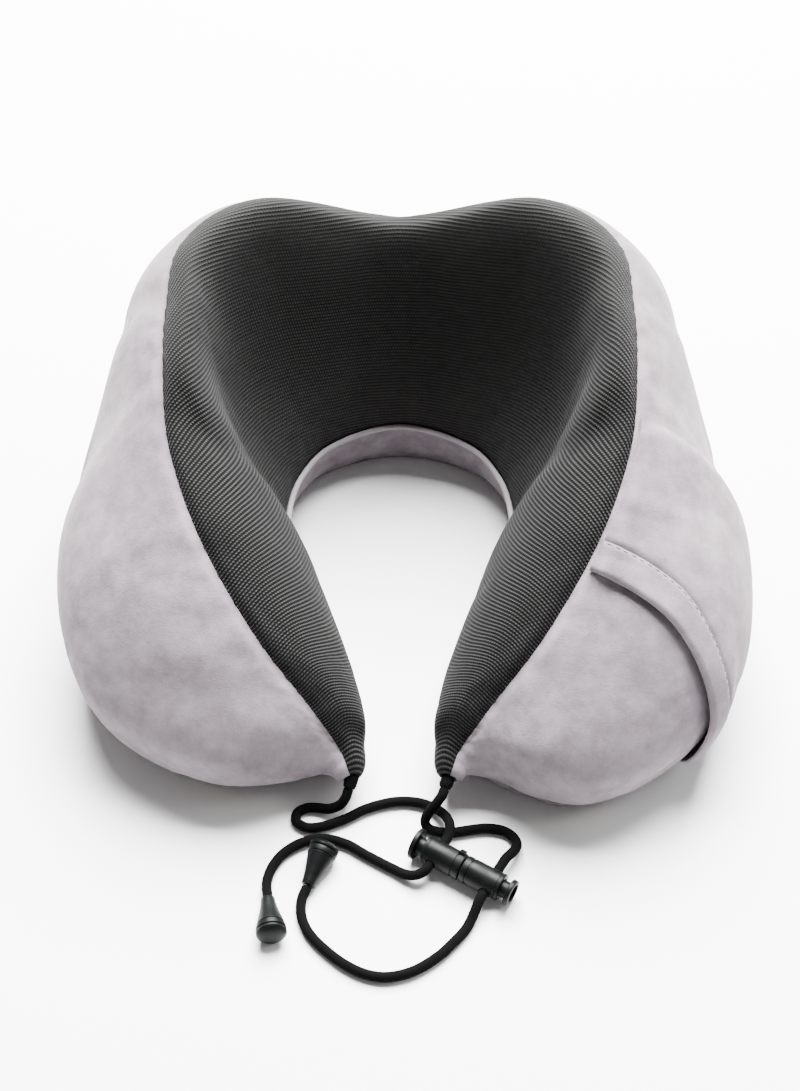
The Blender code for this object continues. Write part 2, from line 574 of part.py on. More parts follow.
def barrel(name, side, look, parent):
    """Half of the lock's barrel. side is -1 for the half towards -X. It has the socket and the catch, and
    the other half the spigot."""
    start = 0.15 * MM
    outside = [(start, BARREL_RADIUS - 0.35 * MM), (start + 0.5 * MM, BARREL_RADIUS),
               (BARREL_END - 0.6 * MM, BARREL_RADIUS), (BARREL_END, BARREL_RADIUS - 0.6 * MM)]
    inside = [(BARREL_END, BARREL_BORE), (BARREL_WALL, BARREL_BORE), (BARREL_WALL, 0)]
    if side < 0:
        face = [(start + SOCKET_DEPTH, 0), (start + SOCKET_DEPTH, SOCKET_RADIUS), (start, SOCKET_RADIUS)]
    else:
        spigot = SOCKET_DEPTH - 2 * GAP
        face = [(-spigot, 0), (-spigot, SOCKET_RADIUS - GAP), (start, SOCKET_RADIUS - GAP)]
    profile = [(side * x, radius) for x, radius in face + outside + inside]
    half = turned(name, profile, 24, look, parent)
    hole = turned(name + "_hole", [(-8 * MM, 0), (-8 * MM, CORD_HOLE_RADIUS), (8 * MM, CORD_HOLE_RADIUS),
                                   (8 * MM, 0)], 16, look, parent)
    hole.rotation_euler = (0, 0, math.pi / 2)
    hole.location = (side * CORD_HOLE, 0, 0)
    boolean(half, hole, "DIFFERENCE")
    if side < 0:
        catch = add_object("catch", box_mesh("catch", (-3.4 * MM, -1.4 * MM, BARREL_RADIUS - 1.0 * MM),
                                             (-0.9 * MM, 1.4 * MM, BARREL_RADIUS + 0.9 * MM)), look, parent)
        catch.rotation_euler = (math.radians(-35), 0, 0)
        boolean(half, catch, "UNION")


def plunger(name, side, head_radius, recess, look, parent):
    """The sprung button of one half. The cord runs through its slot."""
    axis = bpy.data.objects.new(name + "_axis", None)
    bpy.context.scene.collection.objects.link(axis)
    axis.parent = parent
    stem_start = SPRING_END + GAP
    profile = [(stem_start, 0), (stem_start, PLUNGER_RADIUS), (HEAD_START, PLUNGER_RADIUS),
               (HEAD_START, head_radius - 0.3 * MM), (HEAD_START + 0.3 * MM, head_radius),
               (HEAD_END - 0.4 * MM, head_radius), (HEAD_END, head_radius - 0.4 * MM)]
    if recess:
        profile += [(HEAD_END, recess), (HEAD_END - 1.4 * MM, recess), (HEAD_END - 1.4 * MM, 0)]
    else:
        profile += [(HEAD_END, 0)]
    button = turned(name, [(side * x, radius) for x, radius in profile], 24, look, axis)
    near = CORD_HOLE - CORD_HOLE_RADIUS
    far = CORD_HOLE + CORD_HOLE_RADIUS + PLUNGER_TRAVEL
    low, high = sorted((side * near, side * far))
    slot = add_object(name + "_slot", box_mesh(name + "_slot", (low, -6 * MM, -CORD_HOLE_RADIUS),
                                               (high, 6 * MM, CORD_HOLE_RADIUS)), look, axis)
    boolean(button, slot, "DIFFERENCE")


def spring(name, side, look, parent):
    """A coil spring between the barrel's end wall and the plunger."""
    steps = 10 * SPRING_TURNS
    sides = 5
    run = SPRING_END - SPRING_START - 2 * SPRING_WIRE - 2 * GAP
    points = []
    for step in range(steps + 1):
        turn = 2 * math.pi * step / 10
        x = SPRING_START + GAP + SPRING_WIRE + run * step / steps
        radial = Vector((0, math.cos(turn), math.sin(turn)))
        for corner in range(sides):
            angle = 2 * math.pi * corner / sides
            place = radial * (SPRING_RADIUS + SPRING_WIRE * math.cos(angle))
            place += Vector((x + SPRING_WIRE * math.sin(angle), 0, 0))
            points.append((side * place.x, place.y, place.z))
    faces = [list(range(sides)), list(range(steps * sides, (steps + 1) * sides))]
    for step in range(steps):
        for corner in range(sides):
            after = (corner + 1) % sides
            faces.append([step * sides + corner, step * sides + after,
                          (step + 1) * sides + after, (step + 1) * sides + corner])
    add_object(name, mesh_from(name, points, faces), look, parent)


def build_lock(plastic_look, button_look, steel_look):
    centre = bpy.data.objects.new("lock_axis", None)
    bpy.context.scene.collection.objects.link(centre)
    centre.location = LOCK_CENTRE
    centre.rotation_euler = (0, 0, LOCK_ANGLE)
    for word, side, head_radius, recess in (("left", -1, 6.1 * MM, 0), ("right", 1, 5.1 * MM, 3.6 * MM)):
        barrel(f"lock_barrel_{word}", side, plastic_look, centre)
        plunger(f"lock_plunger_{word}", side, head_radius, recess, button_look, centre)
        spring(f"lock_spring_{word}", side, steel_look, centre)


def bell(word, start, towards, look, plug_look):
    """A bell cord end: a tapered sleeve, open at its wide end, and the domed plug that closes it."""
    start = Vector(start) * CM
    towards = Vector(towards) * CM
    turn = (towards - start).to_track_quat("X", "Z").to_euler()
    wall = 0.9 * MM
    sleeve = turned(f"cord_bell_{word}", [
        (0.3 * MM, 0), (0.3 * MM, BELL_NECK_RADIUS - 0.3 * MM), (0.7 * MM, BELL_NECK_RADIUS),
        (4.0 * MM, BELL_NECK_RADIUS + 0.5 * MM), (BELL_LENGTH - 1.0 * MM, BELL_RADIUS - 0.1 * MM),
        (BELL_LENGTH, BELL_RADIUS), (BELL_LENGTH, BELL_RADIUS - wall),
        (BELL_LENGTH - 1.2 * MM, BELL_RADIUS - wall - 0.1 * MM), (5.0 * MM, BELL_NECK_RADIUS - 0.4 * MM),
        (5.0 * MM, 0)], 20, look)
    spigot = BELL_RADIUS - wall - 0.2 * MM - GAP
    face = BELL_LENGTH + GAP
    dome = [(face + 0.3 * MM, BELL_RADIUS), (face + 1.2 * MM, BELL_RADIUS - 0.1 * MM),
            (face + 2.2 * MM, BELL_RADIUS * 0.8), (face + 2.9 * MM, BELL_RADIUS * 0.45),
            (face + 3.1 * MM, 0)]
    plug = turned(f"cord_plug_{word}", [
        (face - 1.8 * MM, 0), (face - 1.8 * MM, spigot), (face, spigot), (face, BELL_RADIUS - 0.3 * MM)]
        + dome, 20, plug_look)
    for piece in (sleeve, plug):
        piece.location = start
        piece.rotation_euler = turn


def build():
    for thing in list(bpy.data.objects):
        bpy.data.objects.remove(thing, do_unlink=True)
    foam = material("memory_foam", (0.86, 0.80, 0.62), 0.95)
    knit = material("charcoal_knit", (0.045, 0.045, 0.046), 0.85)
    velour = material("lilac_grey_velour", (0.55, 0.51, 0.53), 0.9)
    trim = material("pale_trim", (0.68, 0.66, 0.66), 0.8)
    tape = material("zip_tape", (0.42, 0.40, 0.41), 0.85)
    chain = material("zip_coil", (0.50, 0.48, 0.49), 0.5)
    metal = material("zip_metal", (0.60, 0.60, 0.61), 0.3, 1.0)
    cord = material("black_cord", (0.012, 0.012, 0.013), 0.8)
    plastic = material("lock_plastic", (0.045, 0.052, 0.052), 0.45)
    steel = material("spring_steel", (0.55, 0.55, 0.56), 0.3, 1.0)

    whole = stations_between(-ARM_END, ARM_END)
    foam_core(foam)
    panel("neck_panel", whole, U_BAND, U_RIDGE, NECK_COLUMNS, knit)
    panel("side_panel_left", stations_between(-ARM_END, -CENTRE_SEAM), U_RIDGE, U_LOW, SIDE_COLUMNS, velour,
          open_high=ZIP_WINDOW)
    panel("side_panel_right", stations_between(CENTRE_SEAM, ARM_END), U_RIDGE, U_LOW, SIDE_COLUMNS, velour,
          open_high=ZIP_WINDOW)
    panel("base_panel", whole, U_LOW, U_BAND + U_ROUND, BASE_COLUMNS, velour, open_low=2.2 * ZIP_WINDOW)
    rim_piping(trim)
    pocket_panel(velour)
    pocket_hem(velour)
    build_zip(tape, chain, metal)
    build_stubs(cord)
    for name, route in (("cord_left", CORD_LEFT_ROUTE), ("cord_right", CORD_RIGHT_ROUTE)):
        tube(name, smooth_route(route, CORD_POINT_SPACING), CORD_RADIUS, 2, cord)
    build_lock(plastic, plastic, steel)
    bell("left", BELL_LEFT_END, BELL_LEFT_TOWARDS, plastic, plastic)
    bell("right", BELL_RIGHT_END, BELL_RIGHT_TOWARDS, plastic, plastic)


build()
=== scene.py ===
"""Looks of the u shaped neck pillow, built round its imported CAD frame. Metres, +Z up."""
import math

import bpy
import numpy as np
from mathutils import Matrix, Vector


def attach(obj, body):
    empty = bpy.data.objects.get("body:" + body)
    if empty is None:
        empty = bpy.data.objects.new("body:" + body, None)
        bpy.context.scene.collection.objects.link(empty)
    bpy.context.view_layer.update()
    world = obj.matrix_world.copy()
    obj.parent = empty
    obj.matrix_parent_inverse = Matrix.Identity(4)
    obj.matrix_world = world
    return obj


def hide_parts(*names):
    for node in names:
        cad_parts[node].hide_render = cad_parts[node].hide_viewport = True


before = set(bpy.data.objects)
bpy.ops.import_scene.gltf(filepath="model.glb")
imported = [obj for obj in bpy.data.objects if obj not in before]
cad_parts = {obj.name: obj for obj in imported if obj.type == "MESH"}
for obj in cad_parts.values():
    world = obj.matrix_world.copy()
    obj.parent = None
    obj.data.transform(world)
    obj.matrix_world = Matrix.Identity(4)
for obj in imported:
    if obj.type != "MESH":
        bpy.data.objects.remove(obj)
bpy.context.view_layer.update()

CM = 0.01
MM = 0.001
BODY = "pillow"

# The cover's control net: rails from the middle of the back to the tip of an arm, in centimetres.
INNER_FOOT = [(0, 7.0, 0), (3.3, 6.0, 0), (4.9, 4.1, 0), (5.3, 1.95, 0), (5.15, -0.05, 0),
              (4.6, -2.1, 0), (3.6, -4.8, 0), (2.5, -7.6, 0), (1.95, -9.2, 0), (1.7, -9.8, 0.6)]
BAND_TOP = [(0, 6.6, 2.5), (2.9, 5.6, 2.4), (4.3, 3.8, 2.3), (4.8, 1.8, 2.1), (4.65, -0.1, 1.9),
            (4.1, -2.1, 1.8), (3.1, -4.6, 1.6), (2.1, -7.3, 1.4), (1.55, -9.05, 1.3), (1.4, -9.75, 1.3)]
MID_NECK = [(0, 7.5, 7.0), (3.9, 6.5, 7.5), (6.0, 4.7, 7.2), (6.6, 2.4, 7.0), (5.6, 0.1, 6.2),
            (3.9, -1.7, 4.2), (2.85, -4.4, 3.9), (1.85, -7.2, 3.4), (1.4, -8.95, 3.0), (1.4, -9.75, 2.2)]
CROWN = [(0, 8.8, 12.1), (5.0, 7.8, 14.15), (7.8, 5.8, 13.7), (8.2, 3.2, 12.9), (8.0, 0.5, 11.8),
         (6.6, -1.85, 9.8), (5.4, -4.7, 8.4), (3.9, -7.4, 6.4), (2.4, -9.15, 4.3), (1.85, -9.9, 2.8)]
RIDGE = [(0, 10.0, 11.6), (5.8, 8.65, 13.6), (8.75, 6.8, 13.1), (9.25, 3.9, 12.4), (9.2, 0.9, 11.6),
         (8.8, -1.85, 10.4), (7.5, -5.0, 8.8), (5.4, -7.9, 6.6), (3.3, -9.6, 4.2), (2.35, -10.3, 2.7)]
SHOULDER = [(0, 11.2, 9.2), (6.6, 10.0, 10.6), (10.1, 7.9, 10.6), (11.2, 4.6, 10.0), (11.6, 1.2, 8.9),
            (12.0, -2.1, 8.0), (10.9, -5.6, 7.6), (8.8, -8.5, 6.2), (5.3, -10.5, 4.2), (2.8, -10.55, 2.4)]
WAIST = [(0, 11.8, 5.5), (6.9, 10.6, 6.0), (10.3, 7.9, 6.2), (11.8, 4.2, 6.0), (12.9, 0.7, 5.4),
         (13.5, -2.8, 4.8), (12.9, -6.4, 4.4), (11.2, -9.1, 3.8), (7.2, -11.2, 3.0), (3.1, -10.85, 1.8)]
LOW_SEAM = [(0, 10.95, 1.6), (6.2, 9.9, 1.6), (9.6, 7.2, 1.4), (11.2, 3.8, 1.1), (12.2, 0.5, 1.0),
            (12.7, -2.9, 0.9), (12.2, -6.35, 0.9), (10.6, -9.0, 0.8), (6.8, -10.8, 0.7), (2.95, -10.6, 1.05)]
OUTER_FOOT = [(0, 10.0, 0), (5.6, 8.9, 0), (8.8, 6.5, 0), (10.3, 3.4, 0), (11.3, 0.3, 0),
              (11.8, -3.0, 0), (11.3, -6.1, 0), (9.8, -8.6, 0), (6.2, -10.2, 0), (2.6, -10.15, 0.6)]
RAILS = [INNER_FOOT, BAND_TOP, MID_NECK, CROWN, RIDGE, SHOULDER, WAIST, LOW_SEAM, OUTER_FOOT]
SOLE_SHARES = (0.24, 0.76)
# The lobe with the pocket is a little fuller than the other: (x, y, z) added at each station.
LOBE_GROWTH = {6: (0.1, -0.3, 0), 7: (0.2, -0.65, 0), 8: (0.1, -0.9, 0)}
U_BAND, U_RIDGE, U_LOW, U_ROUND = 1.0, 4.0, 7.0, 11
TIP_CENTRE = (1.85, -10.9, 1.5)
TIP_AXIS = (-0.30, -0.93, -0.20)
TIP_RADIUS = 0.6

# Where each cord runs: from its stub to the lock and from the lock to its bell, in metres.
CORD_LEFT_ROUTE = [
    (-0.01985, -0.11235, 0.01230), (-0.02100, -0.11470, 0.00980), (-0.02340, -0.11600, 0.00660),
    (-0.02750, -0.11570, 0.00340), (-0.03200, -0.11450, 0.00210), (-0.03620, -0.11450, 0.00200),
    (-0.03990, -0.11680, 0.00200), (-0.03990, -0.12080, 0.00200), (-0.03550, -0.12330, 0.00200),
    (-0.02900, -0.12250, 0.00200), (-0.02100, -0.11930, 0.00200), (-0.01300, -0.11480, 0.00200),
    (-0.00300, -0.11180, 0.00200), (0.00600, -0.11180, 0.00200), (0.01280, -0.11480, 0.00300),
    (0.01720, -0.11980, 0.00560), (0.01900, -0.12450, 0.00720), (0.01900, -0.12800, 0.00660),
    (0.01807, -0.13043, 0.00620), (0.01684, -0.13249, 0.00620), (0.01396, -0.13729, 0.00620),
    (0.01108, -0.14209, 0.00620), (0.00930, -0.14420, 0.00570), (0.00620, -0.14540, 0.00450),
    (0.00240, -0.14440, 0.00300), (-0.00200, -0.14180, 0.00210), (-0.00750, -0.13860, 0.00200),
    (-0.01350, -0.13500, 0.00200), (-0.02050, -0.13060, 0.00200), (-0.02900, -0.12820, 0.00200),
    (-0.03720, -0.12970, 0.00200), (-0.04420, -0.13430, 0.00200), (-0.04860, -0.14050, 0.00200),
    (-0.05040, -0.14750, 0.00230), (-0.04970, -0.15420, 0.00320),
]
CORD_RIGHT_ROUTE = [
    (0.01699, -0.11366, 0.01400), (0.01600, -0.11600, 0.01330), (0.01360, -0.11840, 0.01100),
    (0.01100, -0.12000, 0.00770), (0.00970, -0.12170, 0.00440), (0.01070, -0.12360, 0.00240),
    (0.01420, -0.12500, 0.00200), (0.01920, -0.12560, 0.00200), (0.02600, -0.12450, 0.00200),
    (0.03300, -0.12360, 0.00200), (0.03950, -0.12460, 0.00200), (0.04360, -0.12780, 0.00240),
    (0.04470, -0.13220, 0.00380), (0.04310, -0.13580, 0.00540), (0.04050, -0.13880, 0.00610),
    (0.03866, -0.14159, 0.00620), (0.03692, -0.14451, 0.00620), (0.03404, -0.14931, 0.00620),
    (0.03116, -0.15411, 0.00620), (0.02980, -0.15650, 0.00590), (0.02830, -0.15970, 0.00450),
    (0.02660, -0.16320, 0.00280), (0.02420, -0.16720, 0.00200), (0.02030, -0.17180, 0.00200),
    (0.01400, -0.17800, 0.00200), (0.00500, -0.18380, 0.00200), (-0.00450, -0.18620, 0.00200),
    (-0.01280, -0.18500, 0.00200), (-0.02060, -0.18100, 0.00200), (-0.02800, -0.17500, 0.00200),
    (-0.03380, -0.16850, 0.00200), (-0.03680, -0.16150, 0.00200), (-0.03700, -0.15500, 0.00230),
    (-0.03510, -0.14980, 0.00320),
]

# Creases and soft hollows in the cover: from (station, around) to (station, around), depth and half width.
FOLDS = [((-4.55, 3.5), (-4.8, 2.9), 2.2 * MM, 7 * MM), ((-4.8, 2.9), (-4.0, 2.2), 2.0 * MM, 7 * MM),
         ((4.55, 3.5), (4.8, 2.9), 2.2 * MM, 7 * MM), ((4.8, 2.9), (4.0, 2.2), 2.0 * MM, 7 * MM),
         ((6.0, 5.6), (6.6, 6.4), 1.6 * MM, 6 * MM), ((-7.6, 4.6), (-7.0, 5.6), 1.2 * MM, 8 * MM),
         ((-8.6, 4.4), (-8.2, 5.4), 1.2 * MM, 6 * MM), ((8.6, 4.4), (8.2, 5.4), 1.2 * MM, 6 * MM)]
SEAM_DIP = 1.5 * MM
SEAM_WIDTH = 2.6 * MM
ROWS_PER_STATION = 14
MOST_OUT = 3.5 * MM
MOST_IN = 1.0 * MM

PANEL_THICKNESS = 2.2 * MM
ZIP_SPAN = 8.2 * CM
ZIP_WINDOW = 0.16
POCKET_BACK = 4.6
POCKET_LIP = [(0.0, 6.3), (0.2, 6.4), (0.45, 6.62), (0.62, 6.98), (0.75, 7.08), (1.0, 7.0)]
POCKET_LIFT = 1.8 * MM
POCKET_EDGE_LIFT = 1.3 * MM
POCKET_THICKNESS = 1.8 * MM
HEM_WIDTH = 0.30

RING_ANGLES = (-60, -15, 30, 70, 105, 138, 170, 207, 252)
CORD_RADIUS = 1.95 * MM
LOCK_CENTRE = (2.40 * CM, -14.33 * CM, 0.62 * CM)
LOCK_ANGLE = math.radians(-30.9)


# ---------------------------------------------------------------- materials
class Look:
    """A material and short ways to add nodes to it."""

    def __init__(self, name, roughness=0.8, sheen=0.0, metallic=0.0, specular=None):
        self.made = bpy.data.materials.new(name)
        self.made.use_nodes = True
        self.tree = self.made.node_tree
        self.shader = self.tree.nodes["Principled BSDF"]
        self.shader.inputs["Roughness"].default_value = roughness
        self.shader.inputs["Metallic"].default_value = metallic
        self.shader.inputs["Sheen Weight"].default_value = sheen
        self.shader.inputs["Sheen Roughness"].default_value = 0.45
        if specular is not None:
            self.shader.inputs["Specular IOR Level"].default_value = specular

    def put(self, socket, value):
        if isinstance(value, bpy.types.NodeSocket):
            self.tree.links.new(value, socket)
        elif isinstance(value, (int, float)) or not hasattr(socket, "default_value"):
            socket.default_value = value
        else:
            socket.default_value = (*value, 1.0) if len(socket.default_value) == 4 else value

    def node(self, kind, inputs=None, **settings):
        made = self.tree.nodes.new(kind)
        for key, value in settings.items():
            setattr(made, key, value)
        for key, value in (inputs or {}).items():
            self.put(made.inputs[key], value)
        return made

    def maths(self, operation, first, second=0.0):
        return self.node("ShaderNodeMath", {0: first, 1: second}, operation=operation).outputs[0]

    def noise(self, place, scale, detail=3.0, roughness=0.5):
        made = self.node("ShaderNodeTexNoise", {"Vector": place, "Scale": scale, "Detail": detail,
                                                "Roughness": roughness})
        return made.outputs["Fac"]

    def ramp(self, value, low, high, low_to, high_to):
        made = self.node("ShaderNodeMapRange", {"Value": value, "From Min": low, "From Max": high,
                                                "To Min": low_to, "To Max": high_to})
        return made.outputs["Result"]

    def mix(self, share, first, second):
        made = self.node("ShaderNodeMix", data_type="RGBA")
        self.put(made.inputs["Factor"], share)
        self.put(made.inputs[6], first)
        self.put(made.inputs[7], second)
        return made.outputs[2]

    def place(self):
        return self.node("ShaderNodeTexCoord").outputs["Object"]

    def colour(self, value):
        self.put(self.shader.inputs["Base Color"], value)

    def bump(self, height, distance, strength=1.0, before=None):
        made = self.node("ShaderNodeBump", {"Height": height, "Distance": distance, "Strength": strength})
        if before is not None:
            self.put(made.inputs["Normal"], before)
        self.put(self.shader.inputs["Normal"], made.outputs["Normal"])
        return made.outputs["Normal"]


def velour_look(name, base, shade):
    """Short pile cloth: broad patches where the nap lies over, fine pile grain and a soft edge light."""
    look = Look(name, 0.95, 0.10, specular=0.08)
    look.put(look.shader.inputs["Sheen Tint"], (0.9, 0.87, 0.9))
    place = look.place()
    patches = look.noise(place, 28.0, 4.0, 0.6)
    brushed = look.noise(place, 130.0, 3.0, 0.65)
    grain = look.noise(place, 1500.0, 2.0, 0.6)
    tone = look.maths("ADD", look.maths("MULTIPLY", patches, 0.5), look.maths("MULTIPLY", brushed, 0.5))
    tone = look.ramp(tone, 0.36, 0.64, 0.0, 1.0)
    cloth = look.mix(tone, shade, base)
    speck = look.ramp(grain, 0.3, 0.7, 0.0, 0.16)
    dark = tuple(value * 0.72 for value in shade)
    look.colour(look.mix(speck, cloth, dark))
    first = look.bump(grain, 0.25 * MM, 0.55)
    look.bump(brushed, 0.5 * MM, 0.35, first)
    return look.made


def knit_look(name, crest, gap, pitch):
    """Ribbed knit, drawn in the cloth's own flat pattern in metres."""
    look = Look(name, 0.9, 0.02, specular=0.06)
    flat = look.node("ShaderNodeUVMap", uv_map="Pattern").outputs["UV"]
    wander = look.noise(look.place(), 90.0, 2.0)
    split = look.node("ShaderNodeSeparateXYZ", {0: flat})
    across = look.maths("ADD", split.outputs["Y"], look.maths("MULTIPLY", wander, 0.5 * MM))
    row = look.maths("DIVIDE", across, pitch)
    wave = look.maths("SINE", look.maths("MULTIPLY", row, 2 * math.pi))
    rib = look.ramp(wave, -0.55, 0.9, 0.0, 1.0)
    offset = look.maths("MULTIPLY", look.maths("FLOOR", row), math.pi)
    turn = look.maths("MULTIPLY", split.outputs["X"], 2 * math.pi / (1.25 * MM))
    stitch = look.maths("SINE", look.maths("ADD", turn, offset))
    stitch = look.ramp(stitch, -0.8, 0.8, 0.45, 1.0)
    height = look.maths("MULTIPLY", rib, stitch)
    fuzz = look.noise(look.place(), 2300.0, 2.0)
    wear = look.ramp(look.noise(look.place(), 45.0, 3.0), 0.3, 0.7, 0.75, 1.1)
    share = look.maths("MULTIPLY", height, wear)
    share = look.maths("MULTIPLY", share, look.ramp(fuzz, 0.2, 0.8, 0.6, 1.15))
    # Painted light on the back wall: towards +Y the knit is pulled towards a lighter, even middle tone,
    # which stands in for light falling there.
    back = look.node("ShaderNodeSeparateXYZ", {0: look.place()}).outputs["Y"]
    back_painted_light = look.ramp(back, 0.0, 0.06, 0.0, 0.55)
    share = look.maths("ADD", share, look.maths("MULTIPLY", look.maths("SUBTRACT", 0.62, share), back_painted_light))
    look.colour(look.mix(share, gap, crest))
    look.bump(height, 0.5 * MM, 0.85)
    return look.made


def woven_look(name, base, dark, scale=900.0):
    look = Look(name, 0.85, 0.15, specular=0.3)
    place = look.place()
    wave = look.node("ShaderNodeTexWave", {"Vector": place, "Scale": scale / 6, "Distortion": 1.0},
                     bands_direction="DIAGONAL").outputs["Fac"]
    grain = look.noise(place, scale, 2.0)
    share = look.maths("MULTIPLY", look.maths("ADD", wave, grain), 0.5)
    look.colour(look.mix(look.ramp(share, 0.25, 0.75, 0.0, 1.0), dark, base))
    look.bump(share, 0.25 * MM, 0.6)
    return look.made


def plastic_look(name, base, roughness):
    look = Look(name, roughness, specular=0.07)
    place = look.place()
    mottle = look.noise(place, 300.0, 3.0)
    look.colour(look.mix(look.ramp(mottle, 0.3, 0.7, 0.0, 1.0), tuple(v * 0.8 for v in base), base))
    look.put(look.shader.inputs["Roughness"], look.ramp(look.noise(place, 160.0, 3.0), 0.3, 0.7,
                                                        roughness - 0.08, roughness + 0.1))
    look.bump(look.noise(place, 2600.0, 2.0), 0.05 * MM, 0.5)
    return look.made


def metal_look(name, base, roughness):
    look = Look(name, roughness, metallic=1.0)
    place = look.place()
    worn = look.noise(place, 420.0, 4.0)
    look.colour(look.mix(look.ramp(worn, 0.35, 0.65, 0.0, 1.0), tuple(v * 0.75 for v in base), base))
    look.put(look.shader.inputs["Roughness"], look.ramp(worn, 0.3, 0.7, roughness - 0.06, roughness + 0.14))
    return look.made


def foam_look():
    look = Look("foam_open_cell", 0.95, specular=0.2)
    cells = look.node("ShaderNodeTexVoronoi", {"Vector": look.place(), "Scale": 900.0}).outputs["Distance"]
    look.colour(look.mix(look.ramp(cells, 0.0, 0.6, 0.0, 1.0), (0.30, 0.26, 0.17), (0.46, 0.42, 0.31)))
    look.bump(cells, 0.3 * MM, 0.6)
    return look.made


def cord_look():
    look = Look("cord_braid", 0.9, 0.0, specular=0.04)
    fuzz = look.noise(look.place(), 2600.0, 3.0)
    share = look.ramp(fuzz, 0.3, 0.75, 0.0, 1.0)
    look.colour(look.mix(share, (0.0003, 0.0003, 0.0003), (0.0013, 0.0013, 0.0014)))
    look.bump(fuzz, 0.08 * MM, 0.6)
    return look.made


# ---------------------------------------------------------------- shape of the cover
def tip_ring():
    """The last section of an arm: a small ring round the cord's stub, one point for each rail."""
    axis = Vector(TIP_AXIS).normalized()
    side = axis.cross(Vector((0, 0, 1))).normalized()
    up = side.cross(axis).normalized()
    ring = []
    for angle in RING_ANGLES:
        turn = math.radians(angle)
        offset = (side * math.cos(turn) + up * math.sin(turn)) * TIP_RADIUS
        ring.append(tuple(Vector(TIP_CENTRE) + offset))
    return np.array(ring)


def control_net():
    """All rails from the -X tip round the back to the +X tip: an array [station, rail, xyz] in metres."""
    half = np.array(RAILS, dtype=float).transpose(1, 0, 2)
    half = np.concatenate([half, tip_ring()[None]], axis=0)
    inner_foot, outer_foot = half[:, 0], half[:, -1]
    soles = [outer_foot + (inner_foot - outer_foot) * share for share in SOLE_SHARES]
    half = np.concatenate([half, np.stack(soles, axis=1)], axis=1)
    other = half[:0:-1] * np.array([-1.0, 1.0, 1.0])
    for station, growth in LOBE_GROWTH.items():
        outer_rails = half[station, RAILS.index(SHOULDER):RAILS.index(OUTER_FOOT) + 1]
        outer_rails += np.array(growth)
    net = np.concatenate([other, half], axis=0) * CM
    before = 2 * net[:1] - net[1:2]
    after = 2 * net[-1:] - net[-2:-1]
    return np.concatenate([before, net, after], axis=0)


NET = control_net()


def catmull_weights(f):
    """Catmull-Rom weights of the four control values round a fraction f."""
    f = f[..., None]
    return np.concatenate([
        -0.5 * f + f ** 2 - 0.5 * f ** 3,
        1 - 2.5 * f ** 2 + 1.5 * f ** 3,
        0.5 * f + 2 * f ** 2 - 1.5 * f ** 3,
        -0.5 * f ** 2 + 0.5 * f ** 3,
    ], axis=-1)


def surface(station, around):
    """Points of the cover's outer surface. station runs from -10 (-X tip) through 0 (middle of the back)
    to +10. around runs over the rails, from 0 at the inner foot, and wraps at 11. A section is a smooth
    curve whose tangents allow for the uneven spacing of its rails."""
    station, around = np.broadcast_arrays(np.asarray(station, float), np.asarray(around, float))
    spans = NET.shape[0] - 3
    place = np.clip(station + spans / 2, 0, spans - 1e-9)
    k = np.floor(place).astype(int)
    j = np.floor(around).astype(int)
    along = catmull_weights(place - k)
    near = []
    for b in range(4):
        rail = (j + b - 1) % U_ROUND
        near.append(sum(along[..., a, None] * NET[k + a, rail] for a in range(4)))
    before, first, second, after = near
    gaps = [np.sqrt(np.linalg.norm(end - start, axis=-1, keepdims=True)) + 1e-9
            for start, end in zip(near, near[1:])]
    out_of_first = (first - before) / gaps[0] - (second - before) / (gaps[0] + gaps[1])
    out_of_first = (out_of_first + (second - first) / gaps[1]) * gaps[1]
    into_second = (second - first) / gaps[1] - (after - first) / (gaps[1] + gaps[2])
    into_second = (into_second + (after - second) / gaps[2]) * gaps[1]
    f = (around - j)[..., None]
    total = (2 * f ** 3 - 3 * f ** 2 + 1) * first + (f ** 3 - 2 * f ** 2 + f) * out_of_first
    total = total + (3 * f ** 2 - 2 * f ** 3) * second + (f ** 3 - f ** 2) * into_second
    total[..., 2] = np.maximum(total[..., 2], 0.0)
    return total


def normals(station, around):
    """Outward unit normals of the cover's outer surface."""
    along = surface(station + 0.12, around) - surface(station - 0.12, around)
    across = surface(station, around + 0.12) - surface(station, around - 0.12)
    normal = np.cross(along, across)
    return normal / np.linalg.norm(normal, axis=-1, keepdims=True)


def fold_depth(station, around):
    """How deep the creases go at these places, measured over the surface."""
    here = surface(station, around)
    total = np.zeros(station.shape)
    for start, end, depth, width in FOLDS:
        first, last = surface(start[0], start[1]), surface(end[0], end[1])
        line = last - first
        share = np.clip(((here - first) @ line) / (line @ line), 0, 1)
        distance = np.linalg.norm(here - first - share[..., None] * line, axis=-1)
        fade = 0.35 + 0.65 * np.sin(math.pi * np.clip(share, 0.08, 0.92))
        total = total + depth * fade * np.exp(-(distance / width) ** 2)
    return total


